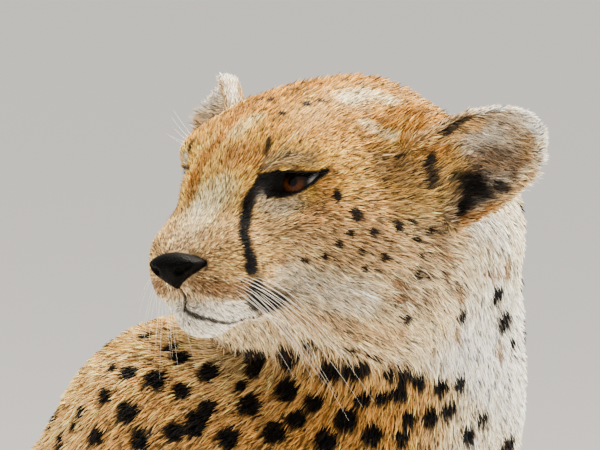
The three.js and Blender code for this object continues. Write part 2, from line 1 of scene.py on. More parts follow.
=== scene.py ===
"""A life-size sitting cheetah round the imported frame: one skin, a coat of mesh tufts that follow its lie,
eyes, nose pad, claws and whiskers, on a pale floor.

The forms of the solids are repeated here as distance fields in millimetres: +Z up, +X the way the trunk
faces, +Y the animal's left. Each form also says how the hair on it lies and how deep the coat is.
"""
import math

import bmesh
import bpy
import numpy as np
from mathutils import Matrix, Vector


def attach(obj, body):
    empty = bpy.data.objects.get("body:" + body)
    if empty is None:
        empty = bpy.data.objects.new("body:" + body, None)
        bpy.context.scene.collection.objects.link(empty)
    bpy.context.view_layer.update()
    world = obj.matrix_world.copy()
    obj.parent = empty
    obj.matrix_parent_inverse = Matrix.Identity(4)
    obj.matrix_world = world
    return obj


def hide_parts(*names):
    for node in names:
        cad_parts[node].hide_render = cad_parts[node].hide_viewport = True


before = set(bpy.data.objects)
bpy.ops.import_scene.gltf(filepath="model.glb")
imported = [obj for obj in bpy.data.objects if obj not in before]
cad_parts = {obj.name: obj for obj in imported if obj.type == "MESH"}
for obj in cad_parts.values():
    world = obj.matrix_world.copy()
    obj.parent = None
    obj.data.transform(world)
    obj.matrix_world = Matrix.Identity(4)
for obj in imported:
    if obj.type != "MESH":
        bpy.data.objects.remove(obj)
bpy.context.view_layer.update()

SEED = 11
rng = np.random.default_rng(SEED)

MM = 0.001
SIDES = (1, -1)
FAR = 1e4


# ---------------- vectors
def vec(*values):
    return np.array(values, dtype=float)


def unit(v):
    return v / np.maximum(np.linalg.norm(v, axis=-1, keepdims=True), 1e-9)


def mirrored(v, side):
    return [v[0], v[1] * side, v[2]]


def rise(x, low, high):
    """0 below low, 1 above high, smooth between."""
    t = np.clip((x - low) / (high - low), 0, 1)
    return t * t * (3 - 2 * t)


def fall(x, low, high):
    """1 below low, 0 above high, smooth between."""
    return 1 - rise(x, low, high)


def ripple(p, size):
    """A smooth wavy pattern from -1 to 1 with waves of about that size."""
    q = p * (2 * math.pi / size)
    a = np.sin(q[:, 0] + 1.7 * np.sin(0.61 * q[:, 1] + 0.3))
    b = np.sin(q[:, 1] * 1.13 + 1.9 * np.sin(0.57 * q[:, 2] + 1.1))
    c = np.sin(q[:, 2] * 0.93 + 1.5 * np.sin(0.71 * q[:, 0] + 2.3))
    return (a + b + c) / 3


# ---------------- distance fields
def smooth_min(a, b, blend):
    h = np.maximum(blend - np.abs(a - b), 0) / blend
    return np.minimum(a, b) - h * h * blend / 4


def smooth_max(a, b, blend):
    return -smooth_min(-a, -b, blend)


def mass(centre, radii, tilt=0.0):
    """An ellipsoid. tilt turns its first axis towards its third, in degrees."""
    c, s = math.cos(math.radians(tilt)), math.sin(math.radians(tilt))
    cx, cy, cz = centre
    rx, ry, rz = radii

    def field(p):
        qx, qy, qz = p[:, 0] - cx, p[:, 1] - cy, p[:, 2] - cz
        x, y, z = (qx * c + qz * s) / rx, qy / ry, (qz * c - qx * s) / rz
        k0 = np.sqrt(x * x + y * y + z * z)
        k1 = np.sqrt((x / rx) ** 2 + (y / ry) ** 2 + (z / rz) ** 2)
        return k0 * (k0 - 1) / np.maximum(k1, 1e-6)

    return field


def limb(a, b, ra, rb):
    """A capsule from a to b whose radius runs from ra to rb."""
    a, ab = vec(*a), vec(*b) - vec(*a)
    length2 = float(ab @ ab)

    def field(p):
        ap = p - a.astype(p.dtype)
        t = np.clip((ap @ ab.astype(p.dtype)) / length2, 0, 1)
        away = ap - t[:, None] * ab.astype(p.dtype)
        return np.sqrt((away * away).sum(axis=1)) - (ra + (rb - ra) * t)

    return field


def section(back, belly, half_width, half_length):
    """A slice of trunk between a point of the back and a point of the belly line, both (x, z)."""
    dx, dz = back[0] - belly[0], back[1] - belly[1]
    centre = ((back[0] + belly[0]) / 2, 0, (back[1] + belly[1]) / 2)
    tilt = math.degrees(math.atan2(dz, dx)) - 90
    return mass(centre, (half_length, half_width, math.hypot(dx, dz) / 2), tilt)


def form(field, blend, lie, coat):
    """A form: its field, the blend with which it melts in, the way its hair lies, and its coat's depth."""
    return (field, blend, unit(vec(*lie)), coat)


def melt(forms, p, start=None):
    """The forms melted together one by one, from a field that is there already or from nothing."""
    d = np.full(len(p), FAR, p.dtype) if start is None else start
    for field, blend, _, _ in forms:
        d = smooth_min(d, field(p), blend)
    return d


# ---------------- trunk, neck, legs and tail
# Points of the left legs, which the right ones mirror, and of the neck.
JOINT = {
    "bladeTop": (184, 42, 640), "shoulder": (312, 72, 545), "elbow": (228, 80, 378),
    "wrist": (268, 72, 130), "foreFetlock": (284, 70, 50), "forePaw": (308, 70, 23),
    "foreToes": (352, 71, 11), "knee": (160, 112, 262), "hock": (12, 106, 70),
    "heel": (-30, 104, 24), "hindFetlock": (128, 102, 23), "hindPaw": (168, 102, 22),
    "hindToes": (210, 103, 11),
}
NECK_ROOT, NECK_MIDDLE, NECK_TOP = (226, 0, 562), (297, -6, 664), (317, -34, 742)
TOE_SPREAD, TOE_RADIUS = 17, 13.5

# The belly's foot, the trunk's slices from the rump up, each with its blend and the way its hair leans,
# and the breast.
TRUNK = [
    form(mass((-12, 0, 58), (80, 62, 64)), 40, (-0.6, 0, -1), 3.1),
    *[form(section(*cut), blend, (lean, 0, -1), 5.6) for cut, blend, lean in (
        (((-122, 175), (88, 92), 88, 120), 40, -0.1),
        (((-104, 290), (74, 222), 78, 95), 60, -0.15),
        (((-52, 405), (122, 318), 80, 95), 60, -0.45),
        (((20, 508), (204, 390), 89, 100), 60, -0.7),
        (((91, 597), (282, 450), 94, 100), 60, -0.8),
        (((160, 665), (338, 530), 88, 78), 60, -0.85),
    )],
    form(mass((292, 0, 605), (66, 68, 80)), 50, (-0.2, 0, -1), 6.8),
]
NECK = [
    form(limb(NECK_ROOT, NECK_MIDDLE, 82, 69), 50, (-0.6, 0.05, -1), 6.2),
    form(limb(NECK_MIDDLE, NECK_TOP, 69, 64), 40, (-0.3, 0.3, -1), 6.2),
    form(mass((308, -40, 712), (58, 50, 36)), 14, (-0.1, 0.25, -1), 6.2),
]


def paw_forms(centre, toes, half_width):
    forms = [form(mass(centre, (44, half_width, 27)), 20, (1, 0, -0.3), 3)]
    for toe in range(4):
        root, tip = toe_points(centre, toes, toe)
        forms.append(form(limb(root, tip, TOE_RADIUS + 1.5, TOE_RADIUS), 7, (1, 0, -0.3), 1.6))
    return forms


def toe_points(centre, toes, toe):
    aside = (toe - 1.5) * TOE_SPREAD
    back = 11 if toe in (0, 3) else 0
    root = (centre[0] + 12 - back, centre[1] + aside * 0.8, centre[2] - 4)
    return root, (toes[0] - back, toes[1] + aside, toes[2])


def fore_leg_forms(side):
    at = {name: mirrored(point, side) for name, point in JOINT.items()}
    blade_foot = vec(*at["bladeTop"]) * 0.1 + vec(*at["shoulder"]) * 0.9
    rear = limb(mirrored((205, 70, 540), side), mirrored((216, 78, 405), side), 42, 33)
    return [
        form(limb(at["bladeTop"], blade_foot, 32, 46), 60, (-0.75, 0, -1), 5.6),
        form(limb(at["shoulder"], at["elbow"], 50, 38), 45, (-0.55, 0, -1), 5),
        form(rear, 45, (-0.45, 0, -1), 5),
        form(limb(at["elbow"], at["wrist"], 37, 24), 25, (0.1, 0, -1), 3.1),
        form(limb(at["wrist"], at["foreFetlock"], 24.5, 24), 20, (0.15, 0, -1), 2.5),
        *paw_forms(at["forePaw"], at["foreToes"], 33),
    ]


def hind_leg_forms(side):
    at = {name: mirrored(point, side) for name, point in JOINT.items()}
    haunch = mass(mirrored((-48, 58, 108), side), (116, 66, 88), 75)
    thigh = mass(mirrored((48, 90, 192), side), (150, 52, 98), 33)
    front = limb(mirrored((135, 104, 262), side), at["knee"], 50, 44)
    return [
        form(haunch, 50, (-0.1, 0, -1), 5.6),
        form(thigh, 45, (-0.35, 0, -1), 5.6),
        form(front, 40, (0.1, 0, -1), 4.3),
        form(limb(at["knee"], at["hock"], 46, 32), 40, (-0.6, 0, -0.8), 3.7),
        form(limb(at["hock"], at["heel"], 32, 25), 20, (-0.5, 0, -0.7), 2.5),
        form(limb(at["heel"], at["hindFetlock"], 27, 24), 20, (1, 0, -0.2), 2.5),
        *paw_forms(at["hindPaw"], at["hindToes"], 31),
    ]


TAIL_PATH = [
    (-70, 0, 120), (-130, 2, 66), (-190, 25, 34), (-225, 80, 28), (-222, 150, 27),
    (-180, 208, 26), (-110, 243, 25), (-25, 256, 24), (60, 254, 23), (140, 238, 22),
]
TAIL_STEPS = 34


def curve(points, steps):
    """Points along a Catmull-Rom curve, evenly spaced."""
    before = 2 * vec(*points[0]) - vec(*points[1])
    after = 2 * vec(*points[-1]) - vec(*points[-2])
    pts = np.array([before, *points, after])
    dense = []
    for i in range(1, len(pts) - 2):
        a, b, c, d = pts[i - 1:i + 3]
        for t in np.linspace(0, 1, 16, endpoint=False):
            square, cube = 2 * a - 5 * b + 4 * c - d, 3 * b - a - 3 * c + d
            dense.append((2 * b + (c - a) * t + square * t**2 + cube * t**3) / 2)
    dense = np.array(dense + [pts[-2]])
    run = np.concatenate([[0], np.cumsum(np.linalg.norm(np.diff(dense, axis=0), axis=1))])
    stops = np.linspace(0, run[-1], steps + 1)
    return np.stack([np.interp(stops, run, dense[:, i]) for i in range(3)], axis=1)


def tail_radius(t):
    """The tail's radius from its root at 0 to its rounded tip at 1."""
    tip = math.sqrt(max(0.0, 1 - ((t - 0.93) / 0.075) ** 2)) if t > 0.93 else 1
    return (34 - 10 * min(1, t * 2.2)) * max(tip, 0.25)


TAIL_POINTS = curve(TAIL_PATH, TAIL_STEPS)
TAIL = []
for step in range(TAIL_STEPS):
    a, b = TAIL_POINTS[step], TAIL_POINTS[step + 1]
    radii = tail_radius(step / TAIL_STEPS), tail_radius((step + 1) / TAIL_STEPS)
    TAIL.append(form(limb(a, b, *radii), 4, b - a, 3.7))

CORE = TRUNK + NECK
FORE_LEGS = [f for side in SIDES for f in fore_leg_forms(side)]
HIND_LEGS = [f for side in SIDES for f in hind_leg_forms(side)]
HIND_BELOW, TAIL_BELOW = 330, 190  # heights under which hind legs and tail can matter


def body_field(p):
    """Trunk, neck, legs and tail."""
    core = melt(CORE, p)
    hind, tail = core.copy(), np.full(len(p), FAR, p.dtype)
    low = p[:, 2] < HIND_BELOW
    if low.any():
        hind[low] = melt(HIND_LEGS, p[low], core[low])
    by_tail = (p[:, 2] < TAIL_BELOW) & ((p[:, 1] > 60) | (p[:, 0] < 20))
    if by_tail.any():
        tail[by_tail] = melt(TAIL, p[by_tail])
    return smooth_min(np.minimum(melt(FORE_LEGS, p, core), hind), tail, 10)


# ---------------- head
# The head's own frame, which starts at the nose pad: its place and its turns.
NOSE = vec(214, -190, 736)
HEADING, PITCH, ROLL = (math.radians(a) for a in (-120, 3, 3))
# Heights over which the head, the features of its face, its bare skin and its ears are worked out.
HEAD_FROM, FACE_FROM, BARE_FROM, EARS_FROM = 640, 660, 680, 690


def head_basis():
    """Columns: back from the nose pad, left, and up."""
    level = vec(math.cos(HEADING), math.sin(HEADING), 0)
    level_left = vec(-math.sin(HEADING), math.cos(HEADING), 0)
    up = vec(0, 0, 1)
    forward = level * math.cos(PITCH) + up * math.sin(PITCH)
    pitched = up * math.cos(PITCH) - level * math.sin(PITCH)
    left = level_left * math.cos(ROLL) + pitched * math.sin(ROLL)
    return np.stack([-forward, left, pitched * math.cos(ROLL) - level_left * math.sin(ROLL)], axis=1)


BASIS = head_basis()


def to_head(p):
    return (p - NOSE.astype(p.dtype)) @ BASIS.astype(p.dtype)


def from_head(h):
    return np.asarray(h, float) @ BASIS.T + NOSE


def head_form(field, blend, lie, coat):
    return form(field, blend, BASIS @ vec(*lie), coat)


# The eyeball's centre, the corners of the lids, the eyeball's radius, and the ruff's height on each side.
EYE, EYE_INNER, EYE_OUTER, EYEBALL = (82, 27, 41), (56, 22, 38), (82, 39, 49.5), 16
RUFF = {1: -14, -1: -2}

HEAD = [
    head_form(mass((128, 0, 43), (60, 56, 52)), 30, (1, 0, 0.1), 3.1),
    head_form(mass((160, 0, 52), (38, 42, 45)), 20, (1, 0, -0.4), 4.3),
    head_form(mass((84, 0, 49), (38, 40, 30)), 30, (1, 0, 0.35), 2.5),
    head_form(limb((17, 0, 0), (66, 0, 36), 13, 20), 22, (1, 0, 0.6), 0.9),
    head_form(mass((32, 0, -24), (18, 13, 13)), 9, (1, 0, -0.7), 1.9),
    head_form(mass((122, 0, -12), (42, 34, 24)), 26, (1, 0, -0.4), 5.6),
]
for side in SIDES:
    HEAD += [
        head_form(mass((75, 29 * side, 55), (18, 14, 13)), 16, (1, 0.3 * side, 0.7), 1.9),
        head_form(mass((54, 13 * side, 37), (15, 13, 15)), 12, (1, 0.2 * side, 0.5), 1.2),
        head_form(mass((34, 13 * side, -8), (20, 13.5, 14.5)), 9, (1, 0.4 * side, -0.45), 0.9),
        head_form(mass((46, 19 * side, 7), (28, 16, 19)), 16, (1, 0.3 * side, -0.05), 1.2),
        head_form(limb((36, 9 * side, -19), (95, 32 * side, -12), 9, 16), 10, (1, 0.2 * side, -0.5), 2.5),
        head_form(limb((68, 34 * side, 22), (120, 48 * side, 20), 16, 19), 20, (1, 0.3 * side, -0.25), 2.5),
        head_form(mass((105, 38 * side, -8), (35, 25, 33)), 22, (1, 0.4 * side, -0.5), 3.7),
        head_form(mass((132, 46 * side, RUFF[side]), (36, 26, 32)), 26, (0.8, 0.3 * side, -0.8), 5.6),
        head_form(mass((146, 55 * side, 53), (24, 20, 28)), 18, (0.5, 0.3 * side, 0.6), 3.1),
    ]

# The ears: root, axis to the tip, and the way that the cup faces, in the head's frame.
EARS = {
    1: (vec(149, 69, 46), vec(3.0, 3.85, 2.45), vec(-6.5, 5.4, -0.5)),
    -1: (vec(146, 62, 50), vec(1.7, 2.4, 4.1), vec(-6, 3.5, 0.3)),
}
EAR_HEIGHT, EAR_HALF_WIDTH, EAR_CUP, EAR_SKIN, EAR_COAT = 56, 28, 17, 2.6, 2.2


def ear_frame(side):
    root, axis, face = EARS[side]
    up = unit(axis)
    face = unit(face - up * (face @ up))
    return root, up, face, np.cross(up, face)


def ear_place(h, side):
    """Across, along and out of an ear's sheet: u from edge to edge, v from root to tip, w above it."""
    root, up, face, across = ear_frame(side)
    q = h * np.array([1, side, 1], h.dtype) - root.astype(h.dtype)
    x = q @ across.astype(h.dtype)
    v = (q @ up.astype(h.dtype)) / EAR_HEIGHT
    v = v / (1 - 0.1 * np.clip(x / EAR_HALF_WIDTH, -1, 1) ** 2)
    width = EAR_HALF_WIDTH * np.sqrt(1 - 0.95 * np.clip(v, 0, 0.98) ** 3)
    u = np.clip(x / width, -1.15, 1.15)
    slope = 2 * EAR_CUP * (1 - 0.35 * v) * u / width
    w = q @ face.astype(h.dtype) - EAR_CUP * (1 - 0.35 * v) * u * u
    return x, u, v, w / np.sqrt(1 + slope * slope)


def ear_field(side, inset=0.0, half=EAR_SKIN):
    """An ear's cupped sheet of that half thickness, with its outline drawn in by the inset."""
    def field(h):
        x, _, v, w = ear_place(h, side)
        outline = (x / EAR_HALF_WIDTH) ** 2 + 0.95 * np.maximum(v, 0) ** 3 - 1
        steep = np.hypot(2 * x / EAR_HALF_WIDTH**2, 2.85 * np.maximum(v, 0) ** 2 / EAR_HEIGHT)
        edge = outline / np.maximum(steep, 0.03) + inset
        sheet = np.abs(w) - half
        return smooth_max(smooth_max(sheet, edge, 3), -(v + 0.2) * EAR_HEIGHT, 3)

    return field


def socket(side):
    """The hollow round an eye."""
    return mass((57, 41 * side, 40), (15, 14, 11), 15)


def eye_place(h, side):
    """Along the eye's slit from 0 at the inner corner to 1 at the outer one, above it, and out of it."""
    inner, outer = vec(*EYE_INNER), vec(*EYE_OUTER)
    span = np.linalg.norm(outer - inner)
    across = (outer - inner) / span
    out = unit(np.cross(vec(0, 0, 1), across))
    up = np.cross(across, out)
    q = h * np.array([1, side, 1], h.dtype) - inner.astype(h.dtype)
    return (q @ across) / span, q @ up, q @ out


def upper_lid(t):
    """The upper lid's height over the slit."""
    return 25.8 * np.sqrt(t) * (1 - t) ** 2 + 0.4


def lower_lid(t):
    """The lower lid's height, which is below the slit."""
    return -46 * t**1.5 * (1 - t) ** 2 - 0.4


def lids(h, side):
    """A distance that is below zero in the opening between the lids, and the place out of the slit."""
    t, y, out = eye_place(h, side)
    inside = np.clip(t, 0, 1)
    ends = np.maximum(-t, t - 1) * 36
    return np.maximum(np.maximum(y - upper_lid(inside), lower_lid(inside) - y), ends), out


def flesh(h, p):
    """The head with its eye hollows, melted into the neck."""
    d = melt(HEAD, h)
    for side in SIDES:
        d = smooth_max(d, -socket(side)(h), 12)
    return smooth_min(d, melt(NECK, p), 32)


def outer_field(p):
    """The outline that the tips of the coat reach."""
    body = body_field(p)
    high = p[:, 2] > HEAD_FROM
    if high.any():
        h = to_head(p[high])
        body[high] = smooth_min(body[high], flesh(h, p[high]), 5)
    return np.maximum(body, -p[:, 2])


def outline(p):
    """The outer outline with the ears."""
    d = outer_field(p)
    high = p[:, 2] > EARS_FROM
    if high.any():
        h = to_head(p[high])
        for side in SIDES:
            d[high] = np.minimum(d[high], ear_field(side, 0, EAR_SKIN + EAR_COAT)(h))
    return d


# ---------------- the camera's view
CAMERA_AT = vec(1104.6, -6032.0, 1275.5)
CAMERA_AIM = vec(273, -113, 752.5)
LENS_MM, SENSOR_MM = 692, 36
IMAGE_WIDTH, IMAGE_HEIGHT = 600, 450
PIXEL = SENSOR_MM / LENS_MM / IMAGE_WIDTH  # a pixel's width at a distance of one
SEARCH_FROM, SEARCH_STEPS = 5600.0, 60  # along a ray from the camera


def view_axes():
    ahead = unit(CAMERA_AIM - CAMERA_AT)
    right = unit(np.cross(ahead, vec(0, 0, 1)))
    return ahead, right, np.cross(right, ahead)


def seen(pixels):
    """The points of the coat's outline that lie behind some pixels of the picture."""
    ahead, right, up = view_axes()
    pixels = np.asarray(pixels, float)
    x, y = (pixels[:, 0] - IMAGE_WIDTH / 2) * PIXEL, (IMAGE_HEIGHT / 2 - pixels[:, 1]) * PIXEL
    rays = unit(ahead + x[:, None] * right + y[:, None] * up)
    reach = np.full(len(pixels), SEARCH_FROM)
    for _ in range(SEARCH_STEPS):
        reach += 0.7 * np.clip(outline(CAMERA_AT + rays * reach[:, None]), -3, 60)
    return CAMERA_AT + rays * reach[:, None]


def in_view(p, n):
    """Whether points face the camera and lie within the picture."""
    ahead, right, up = view_axes()
    q = p - CAMERA_AT
    depth = q @ ahead
    x, y = (q @ right) / depth / PIXEL + IMAGE_WIDTH / 2, IMAGE_HEIGHT / 2 - (q @ up) / depth / PIXEL
    return (n @ ahead < -0.05) & (x > 0) & (x < IMAGE_WIDTH) & (y > 0) & (y < IMAGE_HEIGHT)


# ---------------- mouth and skin
# The line of the lips in the picture, and the cleft from the nose pad down to it.
LIPS = [(181, 310), (190, 315), (208, 320), (220, 323), (234, 324), (256, 318), (275, 310)]
CLEFT = [(180, 292), (181, 297), (181, 301), (181, 306), (181, 310)]


def folded(h):
    """Points of the head with both sides laid on the left one."""
    q = np.array(h)
    q[:, 1] = np.abs(q[:, 1])
    return q


LIP_LINE, CLEFT_LINE = (folded(to_head(seen(pixels))) for pixels in (LIPS, CLEFT))
CLEFT_LINE[:, 1] = LIP_LINE[0, 1] = 0


def line_field(h, line):
    """Distance to a line that both sides of the head share."""
    q = folded(h)
    d = np.full(len(q), FAR)
    for a, b in zip(line, line[1:]):
        d = np.minimum(d, limb(a, b, 0, 0)(q))
    return d


def mouth_field(h):
    """Distances to the line of the lips and to the cleft."""
    joined = rise(-h[:, 1], 0, 1.5) - rise(-h[:, 1], 7, 9)
    return line_field(h, LIP_LINE) + 3 * joined, line_field(h, CLEFT_LINE)


def skin_field(p, coat):
    """The skin under a coat of that depth, with the ears, lids and lips."""
    d = outer_field(p) + coat
    high = p[:, 2] > FACE_FROM
    if high.any():
        h = to_head(p[high])
        face = d[high]
        for side in SIDES:
            face = smooth_min(face, ear_field(side, 2.5)(h), 9)
            ball = mass(mirrored(EYE, side), [EYEBALL + 1.9] * 3)(h)
            near = np.abs(ball) < 30
            face = np.where(near, smooth_min(face, ball, 7), face)
            gap, out = lids(h, side)
            opening = smooth_max(gap, -(out + 2.5), 0.8)
            face = np.where(near, smooth_max(face, -opening, 0.8), face)
        lips, cleft = mouth_field(h)
        face = smooth_max(face, 1.0 - lips, 2.0)
        face = smooth_max(face, 0.7 - cleft, 2.0)
        d[high] = face
    return d


# ---------------- meshing
BLOCK = 8


def chunks(count, most):
    """The numbers up to count in parts of about that many, to save memory."""
    return np.array_split(np.arange(count), max(1, count // most))


def sampled(field, axes):
    """The field on a grid, worked out only in the blocks that its surface may cross."""
    shape = [len(a) for a in axes]
    centres = [a[np.minimum(np.arange(BLOCK // 2, len(a) + BLOCK // 2, BLOCK), len(a) - 1)] for a in axes]
    middles = np.stack(np.meshgrid(*centres, indexing="ij"), axis=-1)
    coarse = field(middles.reshape(-1, 3).astype(np.float32)).reshape(middles.shape[:3])
    spans = [np.array([np.ptp(a[i:i + BLOCK + 1]) for i in range(0, len(a), BLOCK)]) for a in axes]
    squares = [s.reshape([-1 if i == k else 1 for i in range(3)]) ** 2 for k, s in enumerate(spans)]
    reach = 0.5 * np.sqrt(sum(squares))

    def spread(values):
        for k in range(3):
            values = np.repeat(values, BLOCK, axis=k)
        return values[:shape[0], :shape[1], :shape[2]]

    active = spread(np.abs(coarse) < reach * 1.5 + 6)
    value = spread(coarse).astype(np.float32)
    at = np.argwhere(active)
    points = np.stack([axes[k][at[:, k]] for k in range(3)], axis=1).astype(np.float32)
    value[active] = np.concatenate([field(points[part]) for part in chunks(len(points), 200000)])
    return value


def surface_nets(field, axes):
    """Vertices and quads of the field's zero surface on a grid with those axes."""
    value = sampled(field, axes)
    cells = [len(a) - 1 for a in axes]
    rows, places, quads = [], [], []
    for axis in range(3):
        u, w = (axis + 1) % 3, (axis + 2) % 3
        first, second = (value.take(np.arange(cells[axis]) + k, axis=axis) for k in (0, 1))
        at = np.argwhere((first < 0) != (second < 0))
        va, vb = first[tuple(at.T)], second[tuple(at.T)]
        place = np.stack([axes[k][at[:, k]] for k in range(3)], axis=1)
        step = axes[axis][at[:, axis] + 1] - axes[axis][at[:, axis]]
        place[:, axis] += step * va / (va - vb)
        around = []
        for du, dw in ((1, 1), (0, 1), (0, 0), (1, 0)):
            cell = at.copy()
            cell[:, u] -= du
            cell[:, w] -= dw
            fine = np.all((cell >= 0) & (cell < cells), axis=1)
            number = (cell[:, 0] * cells[1] + cell[:, 1]) * cells[2] + cell[:, 2]
            around.append(np.where(fine, number, -1))
            rows.append(number[fine])
            places.append(place[fine])
        quad = np.stack(around, axis=1)
        quad[va >= 0] = quad[va >= 0][:, ::-1]
        quads.append(quad[np.all(quad >= 0, axis=1)])
    used, index = np.unique(np.concatenate(rows), return_inverse=True)
    places = np.concatenate(places)
    count = np.bincount(index)
    points = np.stack([np.bincount(index, places[:, k]) / count for k in range(3)], axis=1)
    return points, np.searchsorted(used, np.concatenate(quads))


def slope_of(field, p, nudge=0.25):
    """The field at points, and the way it grows there."""
    here = field(p)
    steps = [field(p + nudge * np.eye(3)[k]) - here for k in range(3)]
    return here, np.stack(steps, axis=1) / nudge


def settled(field, p, rounds=2, most=2.5):
    """Points moved on to the field's zero surface by Newton's method."""
    for _ in range(rounds):
        here, slope = slope_of(field, p)
        steep = np.maximum((slope * slope).sum(axis=1), 0.3)
        p = p - np.clip(here / steep, -most, most)[:, None] * slope
    return p


ALL_FORMS = TRUNK + NECK + FORE_LEGS + HIND_LEGS + TAIL
HAIR_BLEND = 9  # over how many mm one form's hair passes into the next one's
EYE_COAT, MUZZLE_COAT = 0.5, 1.0  # how deep the coat is there, in mm


def cup_share(h, side, on_ear):
    """How far points lie inside an ear's cup, away from its rim."""
    _, u, v, w = ear_place(h, side)
    inner = rise(w, 0.3, 1.5) * rise(on_ear, 0.5, 0.9) * (h[:, 1] * side > 0)
    return inner * fall(v, 0.7, 0.92) * fall(np.abs(u), 0.7, 0.92)


def hair_at(p):
    """How the hair lies and how deep the coat is, and how much of the head and of an ear there is."""
    h = to_head(p)
    distances = [f[0](p) for f in ALL_FORMS] + [f[0](h) for f in HEAD]
    forms = ALL_FORMS + HEAD
    for side in SIDES:
        distances.append(ear_field(side)(h) - 2)
        _, up, _, _ = ear_frame(side)
        forms = forms + [head_form(None, 0, mirrored(up, side), EAR_COAT)]
    distances = np.stack(distances, axis=1)
    weight = np.exp(-np.clip(distances - distances.min(axis=1, keepdims=True), 0, 200) / HAIR_BLEND)
    weight /= weight.sum(axis=1, keepdims=True)
    lie = weight @ np.stack([f[2] for f in forms])
    coat = weight @ np.array([f[3] for f in forms])
    on_head = weight[:, len(ALL_FORMS):].sum(axis=1)
    on_ear = weight[:, -2:].sum(axis=1)
    for side in SIDES:
        _, up, _, across = ear_frame(side)
        sweep = BASIS @ vec(*mirrored(0.2 * up - across, side))
        lie += 2 * cup_share(h, side, on_ear)[:, None] * sweep
        centre = vec(*mirrored(EYE, side))
        away = h - centre
        far = np.linalg.norm(away, axis=1)
        lie += (np.exp(-(far / 27) ** 2) * on_head)[:, None] * unit(away @ BASIS.T) * 0.7
        coat = coat + (EYE_COAT - coat) * np.exp(-(np.maximum(far - 12, 0) / 13) ** 2) * on_head
    muzzle = np.exp(-((h[:, 0] - 8) / 22) ** 2 - (h[:, 1] / 24) ** 2) * on_head
    coat = coat + (MUZZLE_COAT - coat) * np.clip(muzzle, 0, 1)
    return lie, coat, on_head, on_ear


def grid_axis(low, fine_low, fine_high, high, coarse, fine):
    """Places along an axis: fine steps in the middle and coarse ones outside."""
    before = np.linspace(low, fine_low, max(2, round((fine_low - low) / coarse)), endpoint=False)
    middle = np.linspace(fine_low, fine_high, round((fine_high - fine_low) / fine), endpoint=False)
    after = np.linspace(fine_high, high, max(2, round((high - fine_high) / coarse)) + 1)
    return np.concatenate([before, middle, after])


def raw_skin():
    """The first mesh of the skin, fine over the head."""
    coarse, fine = ((6.5, 2.3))
    axes = [
        grid_axis(-262, 128, 388, 410, coarse, fine),
        grid_axis(-206, -200, 45, 292, coarse, fine),
        grid_axis(-8, 655, 830, 838, coarse, fine),
    ]
    return surface_nets(lambda p: skin_field(p, rough_coat(p)), axes)


def rough_coat(p):
    """A coat depth for the first mesh, before each point has its own."""
    return np.where(p[:, 2] > 700, 3.0, 5.0).astype(p.dtype)


def cut_finer(mesh, inside, part_large=False):
    """Cuts the edges between chosen vertices in two. part_large parts faces of over four corners."""
    bm = bmesh.new()
    bm.from_mesh(mesh)
    chosen = [e for e in bm.edges if inside[e.verts[0].index] and inside[e.verts[1].index]]
    bmesh.ops.subdivide_edges(bm, edges=chosen, cuts=1, use_grid_fill=True)
    if part_large:
        bmesh.ops.triangulate(bm, faces=[f for f in bm.faces if len(f.verts) > 4])
    bm.to_mesh(mesh)
    bm.free()


def arrays_of(mesh):
    """A mesh's points and its triangles."""
    points = np.empty(len(mesh.vertices) * 3, np.float32)
    mesh.vertices.foreach_get("co", points)
    mesh.calc_loop_triangles()
    triangles = np.empty(len(mesh.loop_triangles) * 3, np.int32)
    mesh.loop_triangles.foreach_get("vertices", triangles)
    return points.reshape(-1, 3).astype(float), triangles.reshape(-1, 3)


def near_eye(p, reach):
    """Whether points lie within reach of an eye's centre."""
    h = to_head(p)
    return np.minimum(*[np.linalg.norm(h - vec(*mirrored(EYE, side)), axis=1) for side in SIDES]) < reach


def near_mouth(p, reach):
    """Whether points lie within reach of the lips or the cleft."""
    return np.minimum(*mouth_field(to_head(p))) < reach


def make_skin():
    """The skin's mesh in millimetres, finer round the eyes and the mouth, and its points."""
    points, quads = raw_skin()
    coat = hair_at(points)[1]
    points = settled(lambda p: skin_field(p, coat), points)
    mesh = bpy.data.meshes.new("work")
    mesh.from_pydata(points.tolist(), [], quads.tolist())
    cut_finer(mesh, near_eye(points, 30), part_large=True)
    for zone, reach in ((near_mouth, 6), (near_eye, 27)):
        cut_finer(mesh, zone(arrays_of(mesh)[0], reach))
    points, _ = arrays_of(mesh)
    coat = hair_at(points)[1]
    points = settled(lambda p: skin_field(p, coat), points, rounds=3)
    points[:, 2] = np.maximum(points[:, 2], 1.5)
    mesh.vertices.foreach_set("co", flat(points))
    return mesh, points


# ---------------- markings
def linear(colour):
    """A colour given in sRGB as the linear one that a shader works with."""
    c = np.asarray(colour, float)
    return np.where(c <= 0.04045, c / 12.92, ((c + 0.055) / 1.055) ** 2.4)


TAWNY, GOLD, RUST = (0.79, 0.57, 0.27), (0.88, 0.66, 0.28), (0.61, 0.39, 0.13)
SAND, CREAM, WHITE = (0.79, 0.64, 0.44), (0.93, 0.83, 0.67), (0.97, 0.93, 0.87)
BROWN, BLACK = (0.38, 0.25, 0.14), (0.045, 0.036, 0.030)

